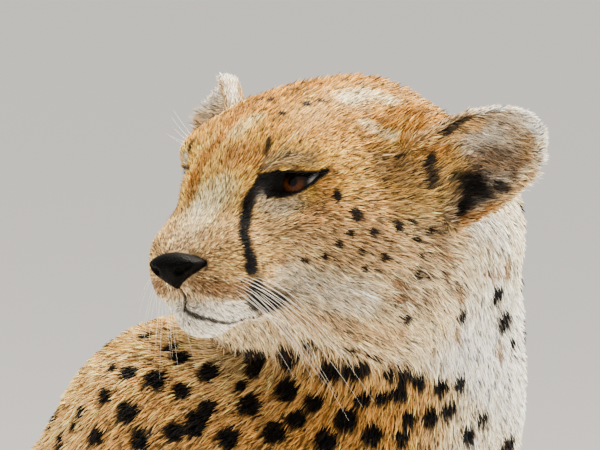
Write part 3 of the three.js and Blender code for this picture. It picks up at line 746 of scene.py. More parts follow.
# Marks of the head and neck, each a brush stroke: places in the picture, the brush's radius in mm at the
# start and at the end, colour, strength, and whether the other side has it too.
STROKES = [
    ([(266, 151), (269, 137)], 1.8, 1.2, BLACK, 0.75, True),
    ([(262, 168), (266, 151)], 1.6, 1.4, BROWN, 0.45, True),
    ([(262, 167), (284, 165), (304, 169)], 1.5, 1.2, (0.30, 0.23, 0.17), 0.6, True),
    ([(264, 181), (272, 180)], 4.6, 4.6, BLACK, 1.0, True),
    ([(263, 184), (254, 194), (248, 205), (245, 219), (245, 234), (249, 250)], 3.4, 2.4, BLACK, 1.0, True),
    ([(250, 254), (253, 268)], 3.2, 4.2, BLACK, 1.0, True),
    ([(260, 190), (270, 193)], 2.6, 2.2, BLACK, 1.0, True),
    ([(256, 288), (260, 303), (275, 303)], 5.5, 5.5, BLACK, 1.0, True),
    ([(262, 301), (288, 299)], 5.5, 3.4, BLACK, 0.7, True),
    ([(194, 284), (214, 287), (246, 289)], 2.6, 4.0, BROWN, 0.6, True),
    ([(196, 292), (214, 295), (244, 299)], 1.2, 1.6, BROWN, 0.5, True),
    ([(283, 260), (286, 268)], 2.5, 1.5, BROWN, 0.5, True),
    ([(190, 196), (196, 170), (206, 152), (219, 139), (229, 122), (242, 106)], 4.2, 2.6, RUST, 0.75, False),
    ([(232, 160), (246, 150)], 6.0, 5.0, RUST, 0.4, False),
    ([(236, 152), (258, 155)], 6.0, 5.0, (0.68, 0.46, 0.22), 0.55, False),
    ([(202, 200), (222, 188)], 8.0, 8.0, (1.0, 0.91, 0.73), 0.65, False),
    ([(236, 130), (256, 116)], 5.0, 5.0, (0.97, 0.87, 0.68), 0.5, False),
    ([(347, 96), (372, 92), (392, 98)], 6.0, 6.0, (1.0, 0.94, 0.83), 0.6, False),
    ([(366, 122), (392, 134)], 4.0, 4.0, (1.0, 0.94, 0.83), 0.5, False),
    ([(398, 89), (425, 98), (447, 111)], 3.0, 3.0, BROWN, 0.45, False),
    ([(340, 101), (362, 110), (388, 119)], 1.3, 1.3, BROWN, 0.5, False),
    ([(395, 104), (415, 112), (432, 110)], 1.6, 1.6, BROWN, 0.4, False),
    ([(384, 162), (416, 172)], 8.0, 8.0, (0.45, 0.36, 0.27), 0.4, True),
    ([(323, 178), (331, 198), (312, 214)], 4.5, 6.0, (0.64, 0.46, 0.26), 0.5, True),
    ([(330, 168), (345, 178)], 2.0, 1.5, BROWN, 0.5, True),
    ([(288, 276), (325, 290), (362, 300)], 8.0, 12.0, (0.93, 0.88, 0.80), 0.55, True),
    ([(184, 157), (184, 164)], 2.4, 2.4, WHITE, 0.8, False),
    ([(183, 168), (188, 168)], 1.0, 1.2, BLACK, 0.85, False),
    ([(310, 220), (345, 225), (380, 215)], 9.0, 12.0, (0.66, 0.50, 0.31), 0.45, True),
    ([(272, 162), (290, 157), (312, 160)], 4.5, 4.0, (0.66, 0.58, 0.46), 0.55, True),
    ([(266, 202), (280, 205), (298, 201)], 6.5, 4.5, (0.80, 0.74, 0.68), 0.55, True),
    # the throat, and the brown blots of the ruff
    ([(296, 318), (350, 331), (396, 340)], 7.0, 8.0, (0.72, 0.57, 0.38), 0.6, False),
    ([(398, 284), (409, 289)], 2.4, 2.0, BROWN, 0.6, False),
    ([(401, 300), (414, 299)], 2.2, 1.6, BROWN, 0.65, False),
    ([(430, 294), (428, 304)], 2.8, 2.2, BROWN, 0.45, False),
    ([(448, 273), (450, 281)], 2.8, 2.4, BROWN, 0.65, False),
    ([(459, 289), (465, 299)], 3.0, 2.6, BROWN, 0.6, False),
    ([(458, 334), (462, 344)], 2.8, 2.4, BROWN, 0.5, False),
    ([(440, 245), (452, 256)], 5.0, 5.0, (0.56, 0.43, 0.28), 0.5, False),
    ([(488, 276), (512, 277)], 1.2, 1.6, BROWN, 0.6, False),
    ([(510, 266), (512, 272)], 3.0, 3.0, BROWN, 0.5, False),
    ([(503, 350), (504, 358)], 3.0, 2.6, BROWN, 0.5, False),
    # the near ear: rim, cup, the dark hair at its foot, and the fur behind it
    ([(426, 143), (455, 134), (482, 122)], 4.5, 3.5, (0.82, 0.62, 0.36), 0.8, False),
    ([(426, 150), (446, 149)], 4.5, 4.0, RUST, 0.7, False),
    ([(470, 150), (490, 138), (512, 120)], 4.0, 5.0, (0.80, 0.76, 0.70), 0.5, False),
    ([(495, 160), (514, 165), (521, 172)], 6.0, 5.0, (0.50, 0.36, 0.22), 0.55, False),
    ([(484, 150), (502, 153)], 4.0, 4.0, (0.40, 0.34, 0.28), 0.5, False),
    ([(505, 123), (516, 129)], 3.0, 3.0, (0.55, 0.45, 0.36), 0.45, False),
    ([(529, 140), (530, 157)], 3.5, 4.0, (0.72, 0.54, 0.34), 0.6, False),
    ([(482, 110), (501, 106), (523, 106), (536, 125)], 4.4, 3.6, (0.99, 0.97, 0.94), 0.95, False),
    ([(540, 141), (534, 160), (521, 179)], 1.8, 1.8, CREAM, 0.9, False),
    ([(431, 160), (434, 180)], 3.6, 3.6, BLACK, 0.9, False),
    ([(437, 174), (456, 186)], 6.0, 6.0, (0.42, 0.34, 0.25), 0.5, False),
    ([(455, 176), (468, 175)], 2.0, 2.4, BLACK, 0.6, False),
    ([(475, 182), (470, 194), (468, 205)], 6.0, 4.5, BLACK, 0.9, False),
    ([(478, 184), (489, 195)], 5.0, 4.0, BLACK, 0.85, False),
    ([(464, 205), (463, 217)], 3.0, 2.0, BLACK, 0.9, False),
    ([(499, 186), (508, 190)], 2.6, 2.4, BLACK, 0.7, False),
    ([(468, 219), (482, 214), (493, 208)], 4.0, 3.0, (0.62, 0.43, 0.21), 0.8, False),
    ([(484, 226), (500, 229), (507, 243)], 8.5, 8.5, WHITE, 0.8, False),
    ([(448, 132), (455, 127), (462, 122), (469, 118)], 2.6, 2.0, BLACK, 0.8, False),
]

# Spots that the picture shows, by radius in mm.
SPOTS = {
    6.4: [(508, 323), (208, 369), (154, 378), (124, 412), (248, 403), (252, 364), (285, 389), (273, 432),
          (286, 360), (226, 437), (172, 431), (137, 440), (328, 374), (345, 421), (325, 441), (374, 436),
          (196, 417)],
    5.2: [(180, 354), (180, 389), (194, 428), (206, 405), (295, 419), (312, 403), (308, 349), (501, 297),
          (432, 420), (451, 413), (472, 438), (126, 370), (399, 396), (528, 290), (101, 395), (55, 441),
          (93, 436), (349, 375), (361, 373), (371, 359), (406, 380)],
    4.4: [(466, 318), (362, 402), (383, 401), (404, 441), (411, 422), (443, 390), (486, 422)],
    3.8: [(227, 347), (110, 365), (145, 332), (77, 410), (463, 386), (352, 358), (359, 214),
          (390, 379), (420, 386), (170, 345), (240, 385), (68, 425), (150, 318)],
    3.1: [(374, 233), (400, 226), (388, 258), (409, 322), (420, 274), (339, 195), (516, 344)],
    2.3: [(417, 222), (421, 240), (425, 258), (340, 244), (431, 276), (366, 268), (326, 257), (363, 251),
          (306, 262), (434, 231), (282, 112), (270, 98), (307, 102), (322, 99), (406, 100), (436, 108),
          (352, 234)],
}


def seen_spots():
    """The picture's spots as centres and radii, with the head's own also on its other side."""
    centres, radii = [], []
    for radius, pixels in SPOTS.items():
        points = seen(pixels)
        _, _, share, _ = hair_at(points)
        centres += list(points)
        radii += [radius] * len(points)
        for point in points[share > 0.75]:
            centres.append(from_head(to_head(point[None])[0] * vec(1, -1, 1)))
            radii.append(radius)
    return np.array(centres), np.array(radii)


MOST_TRIES = 26000


def more_spots(points, normals, on_head, on_ear, centres, radii):
    """Spots on the rest of the body, seeded, each with its own room."""
    hidden = ~in_view(points, normals) & (on_head < 0.3) & (on_ear < 0.1)
    gaps, radii = np.array(radii) * 2 + 10, list(radii)
    for point in points[rng.permutation(np.flatnonzero(hidden))[:MOST_TRIES]]:
        gap = (16 + 15 * rise(point[2], 60, 330)) * (0.85 + 0.3 * rng.random())
        if np.min(np.linalg.norm(centres - point, axis=1) - 0.5 * (gap + gaps)) < 0:
            continue
        centres, gaps = np.vstack([centres, point]), np.append(gaps, gap)
        radii.append(gap * (0.26 + 0.05 * rng.random()))
    return centres, np.array(radii)


def blots(p, centres, radii):
    """How deep points lie in the nearest spot, whose edge is ragged: 1 inside and 0 outside."""
    edge = 1 + 0.16 * ripple(p, 9.0)
    ink = np.zeros(len(p))
    for some in chunks(len(p), 20000):
        q = p[some].astype(np.float32)
        away = (q * q).sum(1)[:, None] + (centres**2).sum(1)[None] - 2 * q @ centres.T.astype(np.float32)
        ratio = np.sqrt(np.maximum(away, 0)) / radii[None]
        ink[some] = fall(ratio.min(axis=1) / edge[some], 0.86, 1.14)
    return ink


FAR_SIDE_SHIFT = 2.5  # how much farther out the strokes lie on the far side of the face


def stroke_masks(h):
    """How much of each stroke reaches points of the head, in the head's frame, with colour and strength."""
    rough = ripple(h, 8) + ripple(h + 31, 5)
    for places, start, end, colour, strength, both in STROKES:
        line, q = to_head(seen(places)), np.array(h)
        if both:
            line = folded(line)
            q[:, 1] = np.where(q[:, 1] < 0, -q[:, 1] - FAR_SIDE_SHIFT, q[:, 1])
        d = np.full(len(q), FAR)
        for k in range(len(line) - 1):
            r = [start + (end - start) * (k + j) / (len(line) - 1) for j in (0, 1)]
            d = np.minimum(d, limb(line[k], line[k + 1], *r)(q))
        d += 0.16 * min(start, 5) * rough
        edge = start * (0.3 if start < 5 else 0.7)
        yield fall(d, -edge, edge + 0.4), colour, strength


def mixed(colour, other, amount):
    """Colours with that amount of another one laid over them, up to the whole."""
    return colour + (np.asarray(other) - colour) * np.clip(amount, 0, 1)[:, None]


def patch(h, centre, radii):
    """A soft patch on both sides of the head: 1 at its centre and 0 far away."""
    q = (folded(h) - vec(*centre)) / vec(*radii)
    return np.exp(-(q * q).sum(axis=1))


def body_colour(p, n):
    """Trunk, neck and legs without their spots. n is the normal."""
    x, aside, z = p[:, 0], np.abs(p[:, 1]), p[:, 2]
    colour = np.tile(np.array(TAWNY), (len(p), 1))
    belly = rise(n @ vec(0.93, 0, -0.36), 0.25, 0.8) * fall(aside, 60, 105) * rise(z, 60, 160)
    belly *= 1 - rise(x, 180, 230) * fall(z, 370, 430)
    neck_foot = 694 - 0.36 * (x - 278) - np.maximum(x - 351, 0) + 1.2 * np.maximum(278 - x, 0)
    neck = rise(z - neck_foot, -8, 8) * rise(z, 560, 600) * rise(n @ vec(0.75, -0.5, 0), -0.2, 0.35)
    chest = rise(n @ vec(0.96, 0.1, 0), 0.35, 0.8) * rise(z, 420, 560)
    inner = rise(-n[:, 1] * np.sign(p[:, 1]), 0.2, 0.8) * fall(z, 330, 420) * (x > -160)
    under = fall(z, 4, 12) * 0.6
    # Painted light: more golden where the surface faces forward (+X), and a pale gold where it faces up and
    # to the rear, as if sunlit.
    colour = mixed(colour, GOLD, 0.3 * rise(n[:, 0], -0.2, 0.8))
    colour = mixed(colour, (0.97, 0.79, 0.52), 0.85 * rise(n @ vec(-0.7, 0, 0.7), 0.1, 0.9))
    for amount in (belly, inner * 0.8, under):
        colour = mixed(colour, CREAM, amount)
    colour = mixed(colour, (0.96, 0.90, 0.79), np.maximum(neck, chest))
    colour = mixed(colour, (1.0, 0.98, 0.93), neck * rise(x, 300, 345) * fall(z, 690, 730))
    return mixed(colour, SAND, 0.5 * fall(z, 40, 300))


def head_colour(h, n):
    """The face without its marks. n is the normal in the head's frame."""
    b, u = h[:, 0], h[:, 2]  # back from the nose, and up
    colour = np.tile(np.array(GOLD), (len(h), 1))
    colour = mixed(colour, TAWNY, 0.55 * rise(b, 60, 110) * rise(u, 40, 80))
    # Painted shade: a darker, deeper gold on the upward-facing tops behind the muzzle, to offset the light
    # from above.
    colour = mixed(colour, (0.64, 0.43, 0.11), 0.9 * rise(n[:, 2], 0.25, 0.75) * rise(b, 45, 75))
    colour = mixed(colour, SAND, fall(u, 14, 44))
    colour = mixed(colour, (0.84, 0.73, 0.57), fall(u - 0.12 * b, -26, -2))
    for centre, radii, tone, amount in (
        ((36, 0, 26), (26, 11, 12), (1.0, 0.91, 0.76), 0.92),  # bridge of the nose
        ((24, 0, 14), (10, 14, 8), (0.86, 0.72, 0.52), 0.6),  # over the nose pad
        ((62, 30, 26), (13, 9, 7), WHITE, 0.55),  # below the eye
        ((66, 32, 58), (10, 9, 5), CREAM, 0.8),  # above the eye
        ((40, 22, 4), (20, 14, 13), GOLD, 0.8),  # side of the muzzle
        ((140, 20, 92), (30, 22, 16), CREAM, 0.15),  # crown
        ((116, 30, 88), (18, 12, 12), WHITE, 0.35),  # crown, to its front
        ((78, 0, 76), (22, 14, 14), TAWNY, 0.45),  # forehead
        ((60, 6, 52), (16, 9, 12), (0.97, 0.86, 0.66), 0.6),  # between the eyes
        ((86, 26, 76), (16, 12, 12), (0.96, 0.85, 0.65), 0.45),  # over the brow
        ((128, 50, 40), (28, 20, 19), (0.60, 0.47, 0.31), 0.65),  # before the ear
    ):
        colour = mixed(colour, tone, amount * patch(h, centre, radii))
    lips = fall(u, -21, -15) * fall(b, 40, 62)
    return mixed(colour, (0.90, 0.86, 0.79), lips)


def ear_colour(colour, h, amount):
    """Black behind with a pale edge, and grey inside with a white rim."""
    for side in SIDES:
        _, u, v, w = ear_place(h, side)
        own = amount * (h[:, 1] * side > 0)
        aside, behind = np.abs(u), rise(-w, -0.5, 1.5)
        lining = (1 - behind) * fall(aside, 0.6, 0.9) * fall(v, 0.6, 0.9)
        # Painted shade: a darker brown deep in the cup, along its middle towards the root.
        hollow = (1 - behind) * 0.5 * fall(aside, 0.1, 0.5) * fall(v, 0.2, 0.6)
        back = behind * fall(aside, 0.55, 0.85) * fall(v, 0.5, 0.75)
        edge = np.maximum(rise(v, 0.72, 0.95), rise(aside, 0.86, 1.0) * rise(v, 0.25, 0.6) * 0.7)
        tone = np.tile(np.array(SAND), (len(h), 1))
        for hue, share in (((0.72, 0.65, 0.56), lining), (BROWN, hollow), (BLACK, back), (WHITE, edge)):
            tone = mixed(tone, hue, share)
        colour = colour * (1 - own)[:, None] + tone * own[:, None]
    return colour


TAIL_RINGS = (0.70, 0.77, 0.84, 0.905)  # along the tail from 0 to 1


def tail_bands(p):
    """Black rings towards the tail's tip, and the white tip itself."""
    away = ((p[:, None, :] - TAIL_POINTS[None].astype(np.float32)) ** 2).sum(axis=2)
    t = away.argmin(axis=1) / TAIL_STEPS
    close = away.min(axis=1) < 45**2
    ring = np.zeros(len(p))
    for place in TAIL_RINGS:
        ring = np.maximum(ring, fall(np.abs(t - place), 0.016, 0.03))
    return ring * close * 0.95, rise(t, 0.93, 0.96) * close


def black_marks(colour, h):
    """Colours near the head with the rims of the eyes, the pad's edge, the lips and the cleft."""
    for side in SIDES:
        gap, out = lids(h, side)
        width = 2.3 - 1.2 * rise(eye_place(h, side)[0], 0.1, 0.5)
        rim = fall(gap, 0.6 * width, 1.2 * width) * (out > -22) * (h[:, 1] * side > 0)
        colour = mixed(colour, BLACK, rim)
    lips, cleft = mouth_field(h)
    colour = mixed(colour, BLACK, fall(nose_field(h), 0.3, 1.2))
    colour = mixed(colour, BLACK, fall(lips, 0.5, 1.7) * 0.72)
    return mixed(colour, BLACK, fall(cleft, 0.5, 1.6) * 0.95)


def coat_colour(p, n, on_head, on_ear, spots):
    """The colour of skin and coat at points, in sRGB."""
    h, hn = to_head(p), n @ BASIS
    colour = body_colour(p, n) * (1 - on_head)[:, None] + head_colour(h, hn) * on_head[:, None]
    colour = ear_colour(colour, h, rise(on_ear, 0.3, 0.7))
    high, low = p[:, 2] > HEAD_FROM, p[:, 2] < 120
    if high.any():
        near = colour[high]
        for mask, tone, strength in stroke_masks(h[high]):
            near = mixed(near, tone, mask * strength)
        colour[high] = near
    spot_colour = mixed(np.tile(np.array(BLACK), (len(p), 1)), BROWN, 0.2 * (on_head > 0.5))
    colour = mixed(colour, spot_colour, blots(p, *spots))
    if high.any():
        colour[high] = black_marks(colour[high], h[high])
    if low.any():
        ring, tip = tail_bands(p[low])
        colour[low] = mixed(mixed(colour[low], BLACK, ring), WHITE, tip)
    return colour


# ---------------- materials
PAINT = "coat"  # the name of the colour attribute


def material(name, tint=None, relief=None, **values):
    """A material whose shader has those values.

    tint is a noise's scale and the least and most that it leaves of the painted colour. relief makes a
    height, and gives it with its depth and strength.
    """
    made = bpy.data.materials.new(name)
    made.use_nodes = True
    tree = made.node_tree
    shader = next(n for n in tree.nodes if n.type == "BSDF_PRINCIPLED")
    for value_name, value in values.items():
        shader.inputs[value_name.replace("_", " ")].default_value = value
    if tint:
        varied(tree, shader, *tint)
    if relief:
        bump(tree, shader, *relief(tree))
    return made


def texture(tree, kind, **values):
    """A texture node that reads places on the object."""
    place = tree.nodes.new("ShaderNodeTexCoord")
    made = tree.nodes.new(kind)
    for name, value in values.items():
        made.inputs[name].default_value = value
    tree.links.new(place.outputs["Object"], made.inputs["Vector"])
    return made


def noise(tree, scale, detail=3.0, rough=0.6):
    return texture(tree, "ShaderNodeTexNoise", Scale=scale, Detail=detail, Roughness=rough).outputs["Fac"]


def bump(tree, shader, height, depth, strength):
    made = tree.nodes.new("ShaderNodeBump")
    made.inputs["Distance"].default_value = depth
    made.inputs["Strength"].default_value = strength
    tree.links.new(height, made.inputs["Height"])
    tree.links.new(made.outputs["Normal"], shader.inputs["Normal"])


def varied(tree, shader, scale, low, high):
    """The painted colour, darker and lighter by a noise."""
    colour = tree.nodes.new("ShaderNodeAttribute")
    colour.attribute_name = PAINT
    spread = tree.nodes.new("ShaderNodeMapRange")
    spread.inputs["To Min"].default_value = low
    spread.inputs["To Max"].default_value = high
    tree.links.new(noise(tree, scale), spread.inputs["Value"])
    product = tree.nodes.new("ShaderNodeVectorMath")
    product.operation = "SCALE"
    tree.links.new(colour.outputs["Color"], product.inputs[0])
    tree.links.new(spread.outputs["Result"], product.inputs["Scale"])
    tree.links.new(product.outputs["Vector"], shader.inputs["Base Color"])


def pores(tree):
    return noise(tree, 1100, 4.0, 0.7), 0.0016, 0.8


def leather(tree):
    return texture(tree, "ShaderNodeTexVoronoi", Scale=900).outputs["Distance"], 0.0004, 0.7


def scratches(tree):
    return noise(tree, 2500), 0.0002, 0.5


FUR = material(
    "coat_hair", (900, 0.82, 1.14),
    Roughness=0.62, Specular_IOR_Level=0.14, Sheen_Weight=0.02, Sheen_Roughness=0.45,
)
SKIN = material("coat_skin", (1400, 0.6, 1.05), pores, Roughness=0.75, Specular_IOR_Level=0.25)
NOSE_PAD = material("nose_leather", (500, 0.7, 1.2), leather, Roughness=0.5, Specular_IOR_Level=0.03)
EYE_BALL = material(
    "eye", (1600, 0.8, 1.15),
    Roughness=0.12, Specular_IOR_Level=0.08, Coat_Weight=0.12, Coat_Roughness=0.02,
)
CLAW = material("claw_horn", (700, 0.7, 1.2), scratches, Roughness=0.35)
WHISKER = material("whisker", (300, 0.92, 1.05), Roughness=0.35)


# ---------------- pieces
def paint(mesh, colours):
    """A linear colour for each vertex, as the attribute that the materials read."""
    made = mesh.color_attributes.new(PAINT, "FLOAT_COLOR", "POINT")
    full = np.ones((len(mesh.vertices), 4), np.float32)
    full[:, :3] = linear(colours)
    made.data.foreach_set("color", full.ravel())


def flat(values):
    """Numbers in a row, as foreach_set takes them."""
    return np.asarray(values, np.float32).ravel()


def mesh_of(name, points, faces):
    """A mesh from points in millimetres and faces that all have as many corners."""
    mesh = bpy.data.meshes.new(name)
    faces = np.asarray(faces, np.int32)
    corners = faces.shape[1]
    mesh.vertices.add(len(points))
    mesh.vertices.foreach_set("co", flat(points * MM))
    mesh.loops.add(faces.size)
    mesh.loops.foreach_set("vertex_index", faces.ravel())
    mesh.polygons.add(len(faces))
    mesh.polygons.foreach_set("loop_start", np.arange(0, faces.size, corners, dtype=np.int32))
    mesh.update(calc_edges=True)
    return mesh


def added(name, data):
    """An object with that data, in the scene."""
    made = bpy.data.objects.new(name, data)
    bpy.context.scene.collection.objects.link(made)
    return made


def piece(name, mesh, look, nodes=(), smooth=True):
    """A named piece of the animal with its material and the nodes that it replaces."""
    made = added(name, mesh)
    mesh.materials.append(look)
    mesh.polygons.foreach_set("use_smooth", np.full(len(mesh.polygons), smooth))
    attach(made, "root")
    if nodes:
        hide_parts(*nodes)


# ---------------- tufts
TUFTS = 360000
LOCKS, STRAYS = 0.16, 0.07  # the shares of thick tufts and of tufts that stand out
HALF_WIDTH, ROOT_DEPTH = 0.34, 0.4  # of a tuft, and of its root under the skin, in mm
LOWEST = 0.4  # how far over the floor the coat stays
PATCH = 0.0015  # half the width of a tuft's patch in the UV map


def unwrap(roots, normals):
    """Each root's place on an unwrap of the skin: six charts, one for each way that it can face."""
    axis = np.abs(normals).argmax(axis=1)
    chart = axis * 2 + (normals[np.arange(len(normals)), axis] > 0)
    uv = np.zeros((len(roots), 2))
    for number in range(6):
        own = chart == number
        if not own.any():
            continue
        place = np.delete(roots[own], number // 2, axis=1)
        size = max(np.ptp(place, axis=0).max(), 1.0)
        cell = vec(number % 3 / 3, number // 3 / 2)
        uv[own] = cell + 0.01 + (place - place.min(axis=0)) / size * (1 / 3 - 0.02)
    return uv


def fineness(p, on_head, on_ear):
    """How dense the tufts grow: most on the face, less on the neck and least on the trunk and legs."""
    face = fall(to_head(p)[:, 0], 60, 115)
    body = 0.12 + 0.68 * rise(p[:, 2], 560, 650) * rise(p[:, 0], 0, 120)
    paws = 0.2 * fall(p[:, 2], 25, 60)
    return (body + paws) * (1 - on_head) + (1.55 + 0.6 * face + 0.3 * on_ear) * on_head


def bare(points):
    """0 in the eyes, on the lips and on the nose pad, where no hair grows, and 1 elsewhere."""
    hairy = np.ones(len(points))
    high = points[:, 2] > BARE_FROM
    h = to_head(points[high])
    share = rise(nose_field(h), 0.2, 1.2) * rise(np.minimum(*mouth_field(h)), 0.6, 1.5)
    for side in SIDES:
        gap, out = lids(h, side)
        near = (out > -16) & (h[:, 1] * side > 0) & (h[:, 0] < 110)
        share *= np.where(near, rise(gap, 0.7, 1.8), 1)
    hairy[high] = share
    return hairy


def grow(points, normals, triangles):
    """Tuft roots strewn over the skin, each with its normal, lie and coat."""
    lie, coat, on_head, on_ear = hair_at(points)
    fine = fineness(points, on_head, on_ear)
    corner = points[triangles]
    area = np.linalg.norm(np.cross(corner[:, 1] - corner[:, 0], corner[:, 2] - corner[:, 0]), axis=1) / 2
    weight = area * (fine * bare(points))[triangles].mean(axis=1)
    face = np.sort(rng.choice(len(triangles), TUFTS, p=weight / weight.sum()))
    s, t = np.sqrt(rng.random(TUFTS)), rng.random(TUFTS)
    share = np.stack([1 - s, s * (1 - t), s * t], axis=1)

    def at(values):
        picked = values[triangles[face]]
        return (picked * (share[:, :, None] if values.ndim == 2 else share)).sum(axis=1)

    normal, lie = unit(at(normals)), at(lie)
    tufts = {
        "root": at(points), "normal": normal,
        "lie": unit(lie - (lie * normal).sum(axis=1)[:, None] * normal),
        "coat": at(coat), "head": at(on_head), "ear": at(on_ear), "fine": np.maximum(at(fine), 0.1),
    }
    h = to_head(tufts["root"])
    tufts["cup"] = np.maximum(*[cup_share(h, side, tufts["ear"]) for side in SIDES])
    tufts["lock"] = rng.random(TUFTS) < LOCKS
    return tufts


def comb(tufts):
    """The four corners of every tuft, root, two shoulders and tip, and the place of the outline over it."""
    count = len(tufts["root"])
    normal, coat, cup = tufts["normal"], tufts["coat"], tufts["cup"]
    sway = 0.22 * ripple(tufts["root"], 23) + rng.normal(0, 0.18, count)
    lie = unit(tufts["lie"] + np.cross(normal, tufts["lie"]) * sway[:, None])
    side = np.cross(normal, lie)
    roll = rng.normal(0, 0.35, count)[:, None]
    lift = 1 + 0.22 * ripple(tufts["root"] + 50, 13)
    length = (1.4 + (1.35 + 0.5 * tufts["head"]) * coat) * rng.uniform(0.7, 1.3, count)
    for more in (1 - 0.3 * tufts["ear"], 1 + 1.2 * cup, 1 + 0.2 * tufts["lock"]):
        length *= more
    height = (coat * rng.uniform(0.45, 0.95, count) + 0.25) * lift + 1.2 * cup
    stray = (rng.random(count) < STRAYS) * rise(coat, 1.5, 3.0) * tufts["head"] * (1 - cup)
    height *= 1 + 0.5 * stray
    length *= 1 + 0.4 * stray
    height = np.minimum(height, 0.8 * length)
    width = HALF_WIDTH / np.sqrt(tufts["fine"]) * rng.uniform(0.75, 1.25, count) * (1 + 0.6 * tufts["lock"])
    run = np.sqrt(length**2 - height**2)
    root = tufts["root"] - normal * ROOT_DEPTH
    tip = tufts["root"] + lie * run[:, None] + normal * height[:, None]
    bend = tufts["root"] + lie * (0.42 * run)[:, None] + normal * (0.62 * height)[:, None]
    level = outer_field(tufts["root"])
    for _ in range(2):
        off = np.clip(outer_field(tip) - level - height, -6, 6) * (tufts["ear"] < 0.4)
        tip = tip - normal * off[:, None]
        bend = bend - normal * (0.35 * off)[:, None]
    across = unit(side + normal * roll) * width[:, None]
    corners = np.stack([root, bend - across, bend + across, tip], axis=1)
    corners[:, :, 2] = np.maximum(corners[:, :, 2], LOWEST)
    return corners, (bend + tip) / 2 + normal * (coat - 0.8 * height)[:, None]


def tinted(colour, root, lock, fine):
    """Hair colours with the unevenness of a coat: clumps, dark hairs and pale ones, calmer on the body."""
    count = len(root)
    h = to_head(root)
    ticked = 0.22 * patch(h, (118, 44, 26), (45, 40, 40)) * (0.5 + 0.5 * ripple(root, 16))
    calm = np.clip(fine / 1.1, 0.4, 1)
    shade = 1 + rng.normal(0, 0.19, count) * calm + 0.07 * ripple(root, 9) + 0.06 * ripple(root + 7, 4.5)
    kind = rng.random(count)
    dark = 0.07 + 0.1 * fall(colour.min(axis=1), 0.5, 0.75) + ticked
    shade = np.where(kind < dark, shade * 0.5, shade)
    light = (kind > 0.9) * 0.4 * calm * rise(colour.mean(axis=1), 0.25, 0.5)
    warm = rng.normal(0, 0.018, count)[:, None] * vec(1, 0, -1)
    shade = shade + lock * rng.normal(0.04, 0.24, count) * calm
    return mixed(colour * shade[:, None] + warm, CREAM, light)


# A tuft is a thin tetrahedron: its faces, the corners of its patch, and its painted shade, from a dark root
# deep in the coat to a lighter tip.
TUFT_FACES = np.array([(0, 2, 1), (1, 2, 3), (0, 1, 3), (0, 3, 2)])
TUFT_PATCH = np.array([(0, -PATCH), (-PATCH, 0), (PATCH, 0), (0, PATCH)])
TUFT_PAINTED_SHADE = np.array([0.5, 0.93, 0.93, 1.12])


def coat_piece(name, tufts, corners, chosen):
    """One piece of coat from some of the tufts."""
    faces = (np.arange(len(chosen))[:, None, None] * 4 + TUFT_FACES[None]).reshape(-1, 3)
    mesh = mesh_of(name, corners[chosen].reshape(-1, 3), faces)
    colour = tufts["colour"][chosen][:, None, :] * TUFT_PAINTED_SHADE[None, :, None]
    paint(mesh, np.clip(colour, 0, 1).reshape(-1, 3))
    place = unwrap(tufts["root"][chosen], tufts["normal"][chosen])
    patches = place[:, None, :] + TUFT_PATCH[None]
    uv = mesh.uv_layers.new(name="OFBake")
    uv.data.foreach_set("uv", flat(patches.reshape(-1, 2)[faces.ravel()]))
    piece(name, mesh, FUR, smooth=False)


def coat_regions(tufts):
    """The coat's pieces by name: masks over the tufts."""
    x, y, z = tufts["root"].T
    head, h = tufts["head"] > 0.5, to_head(tufts["root"])
    face, top = h[:, 0] < 78, h[:, 2] >= 40
    neck = ~head & (z > 610)
    rest = ~head & ~neck
    trunk, fore = z > 330, x > 215
    regions = {}
    for name, own in (("left", h[:, 1] > 0), ("right", h[:, 1] <= 0)):
        regions[f"coat_face_{name}"] = head & own & face
        regions[f"coat_cheek_{name}"] = head & own & ~face & ~top
        regions[f"coat_crown_{name}"] = head & own & ~face & top
    regions["coat_neck_front"] = neck & (x > 260)
    regions["coat_neck_back"] = neck & (x <= 260)
    for name, own in (("left", y > 0), ("right", y <= 0)):
        regions[f"coat_trunk_{name}"] = rest & own & trunk
        regions[f"coat_fore_{name}"] = rest & own & ~trunk & fore
        regions[f"coat_hind_{name}"] = rest & own & ~trunk & ~fore
    return regions


MOST_TUFTS = 48000  # in a piece


def make_coat(points, normals, triangles, spots):
    """The coat, cut in pieces that stay under the limit of triangles."""
    tufts = grow(points, normals, triangles)
    corners, above = comb(tufts)
    colour = coat_colour(above, tufts["normal"], tufts["head"], tufts["ear"], spots)
    tufts["colour"] = tinted(colour, tufts["root"], tufts["lock"], tufts["fine"])
    for name, chosen in coat_regions(tufts).items():
        chosen = np.flatnonzero(chosen)
        parts = max(1, -(-len(chosen) // MOST_TUFTS))
        for part, some in enumerate(np.array_split(chosen, parts)):
            if len(some):
                coat_piece(name if parts == 1 else f"{name}_{part + 1}", tufts, corners, some)


# ---------------- nose pad
def nose_field(h):
    """The pad: wide above, cut to a wedge towards the cleft, with two nostrils that open to the sides."""
    d = mass((12, 0, -1), (13, 19, 13))(h)
    aside = np.abs(h[:, 1])
    d = smooth_max(d, h[:, 2] - 8.2 + 0.018 * aside**2, 3)
    d = smooth_max(d, 0.61 * aside - 0.793 * h[:, 2] - 8.6, 3)
    d = smooth_max(d, -0.8 * h[:, 0] - 0.6 * h[:, 2] - 1.4, 3)
    for side in SIDES:
        pit = mass((0.8, 7.2 * side, -1.8), (2.8, 2.3, 1.9))(h)
        slit = limb((0.8, 8 * side, -1.6), (3.6, 13 * side, 1.4), 1.3, 0.8)(h)
        d = smooth_max(d, -smooth_min(pit, slit, 2), 1.4)
    return smooth_max(d, 1.0 - line_field(h, np.array([(-2, 0, -1), (4, 0, -14)])), 1.6)


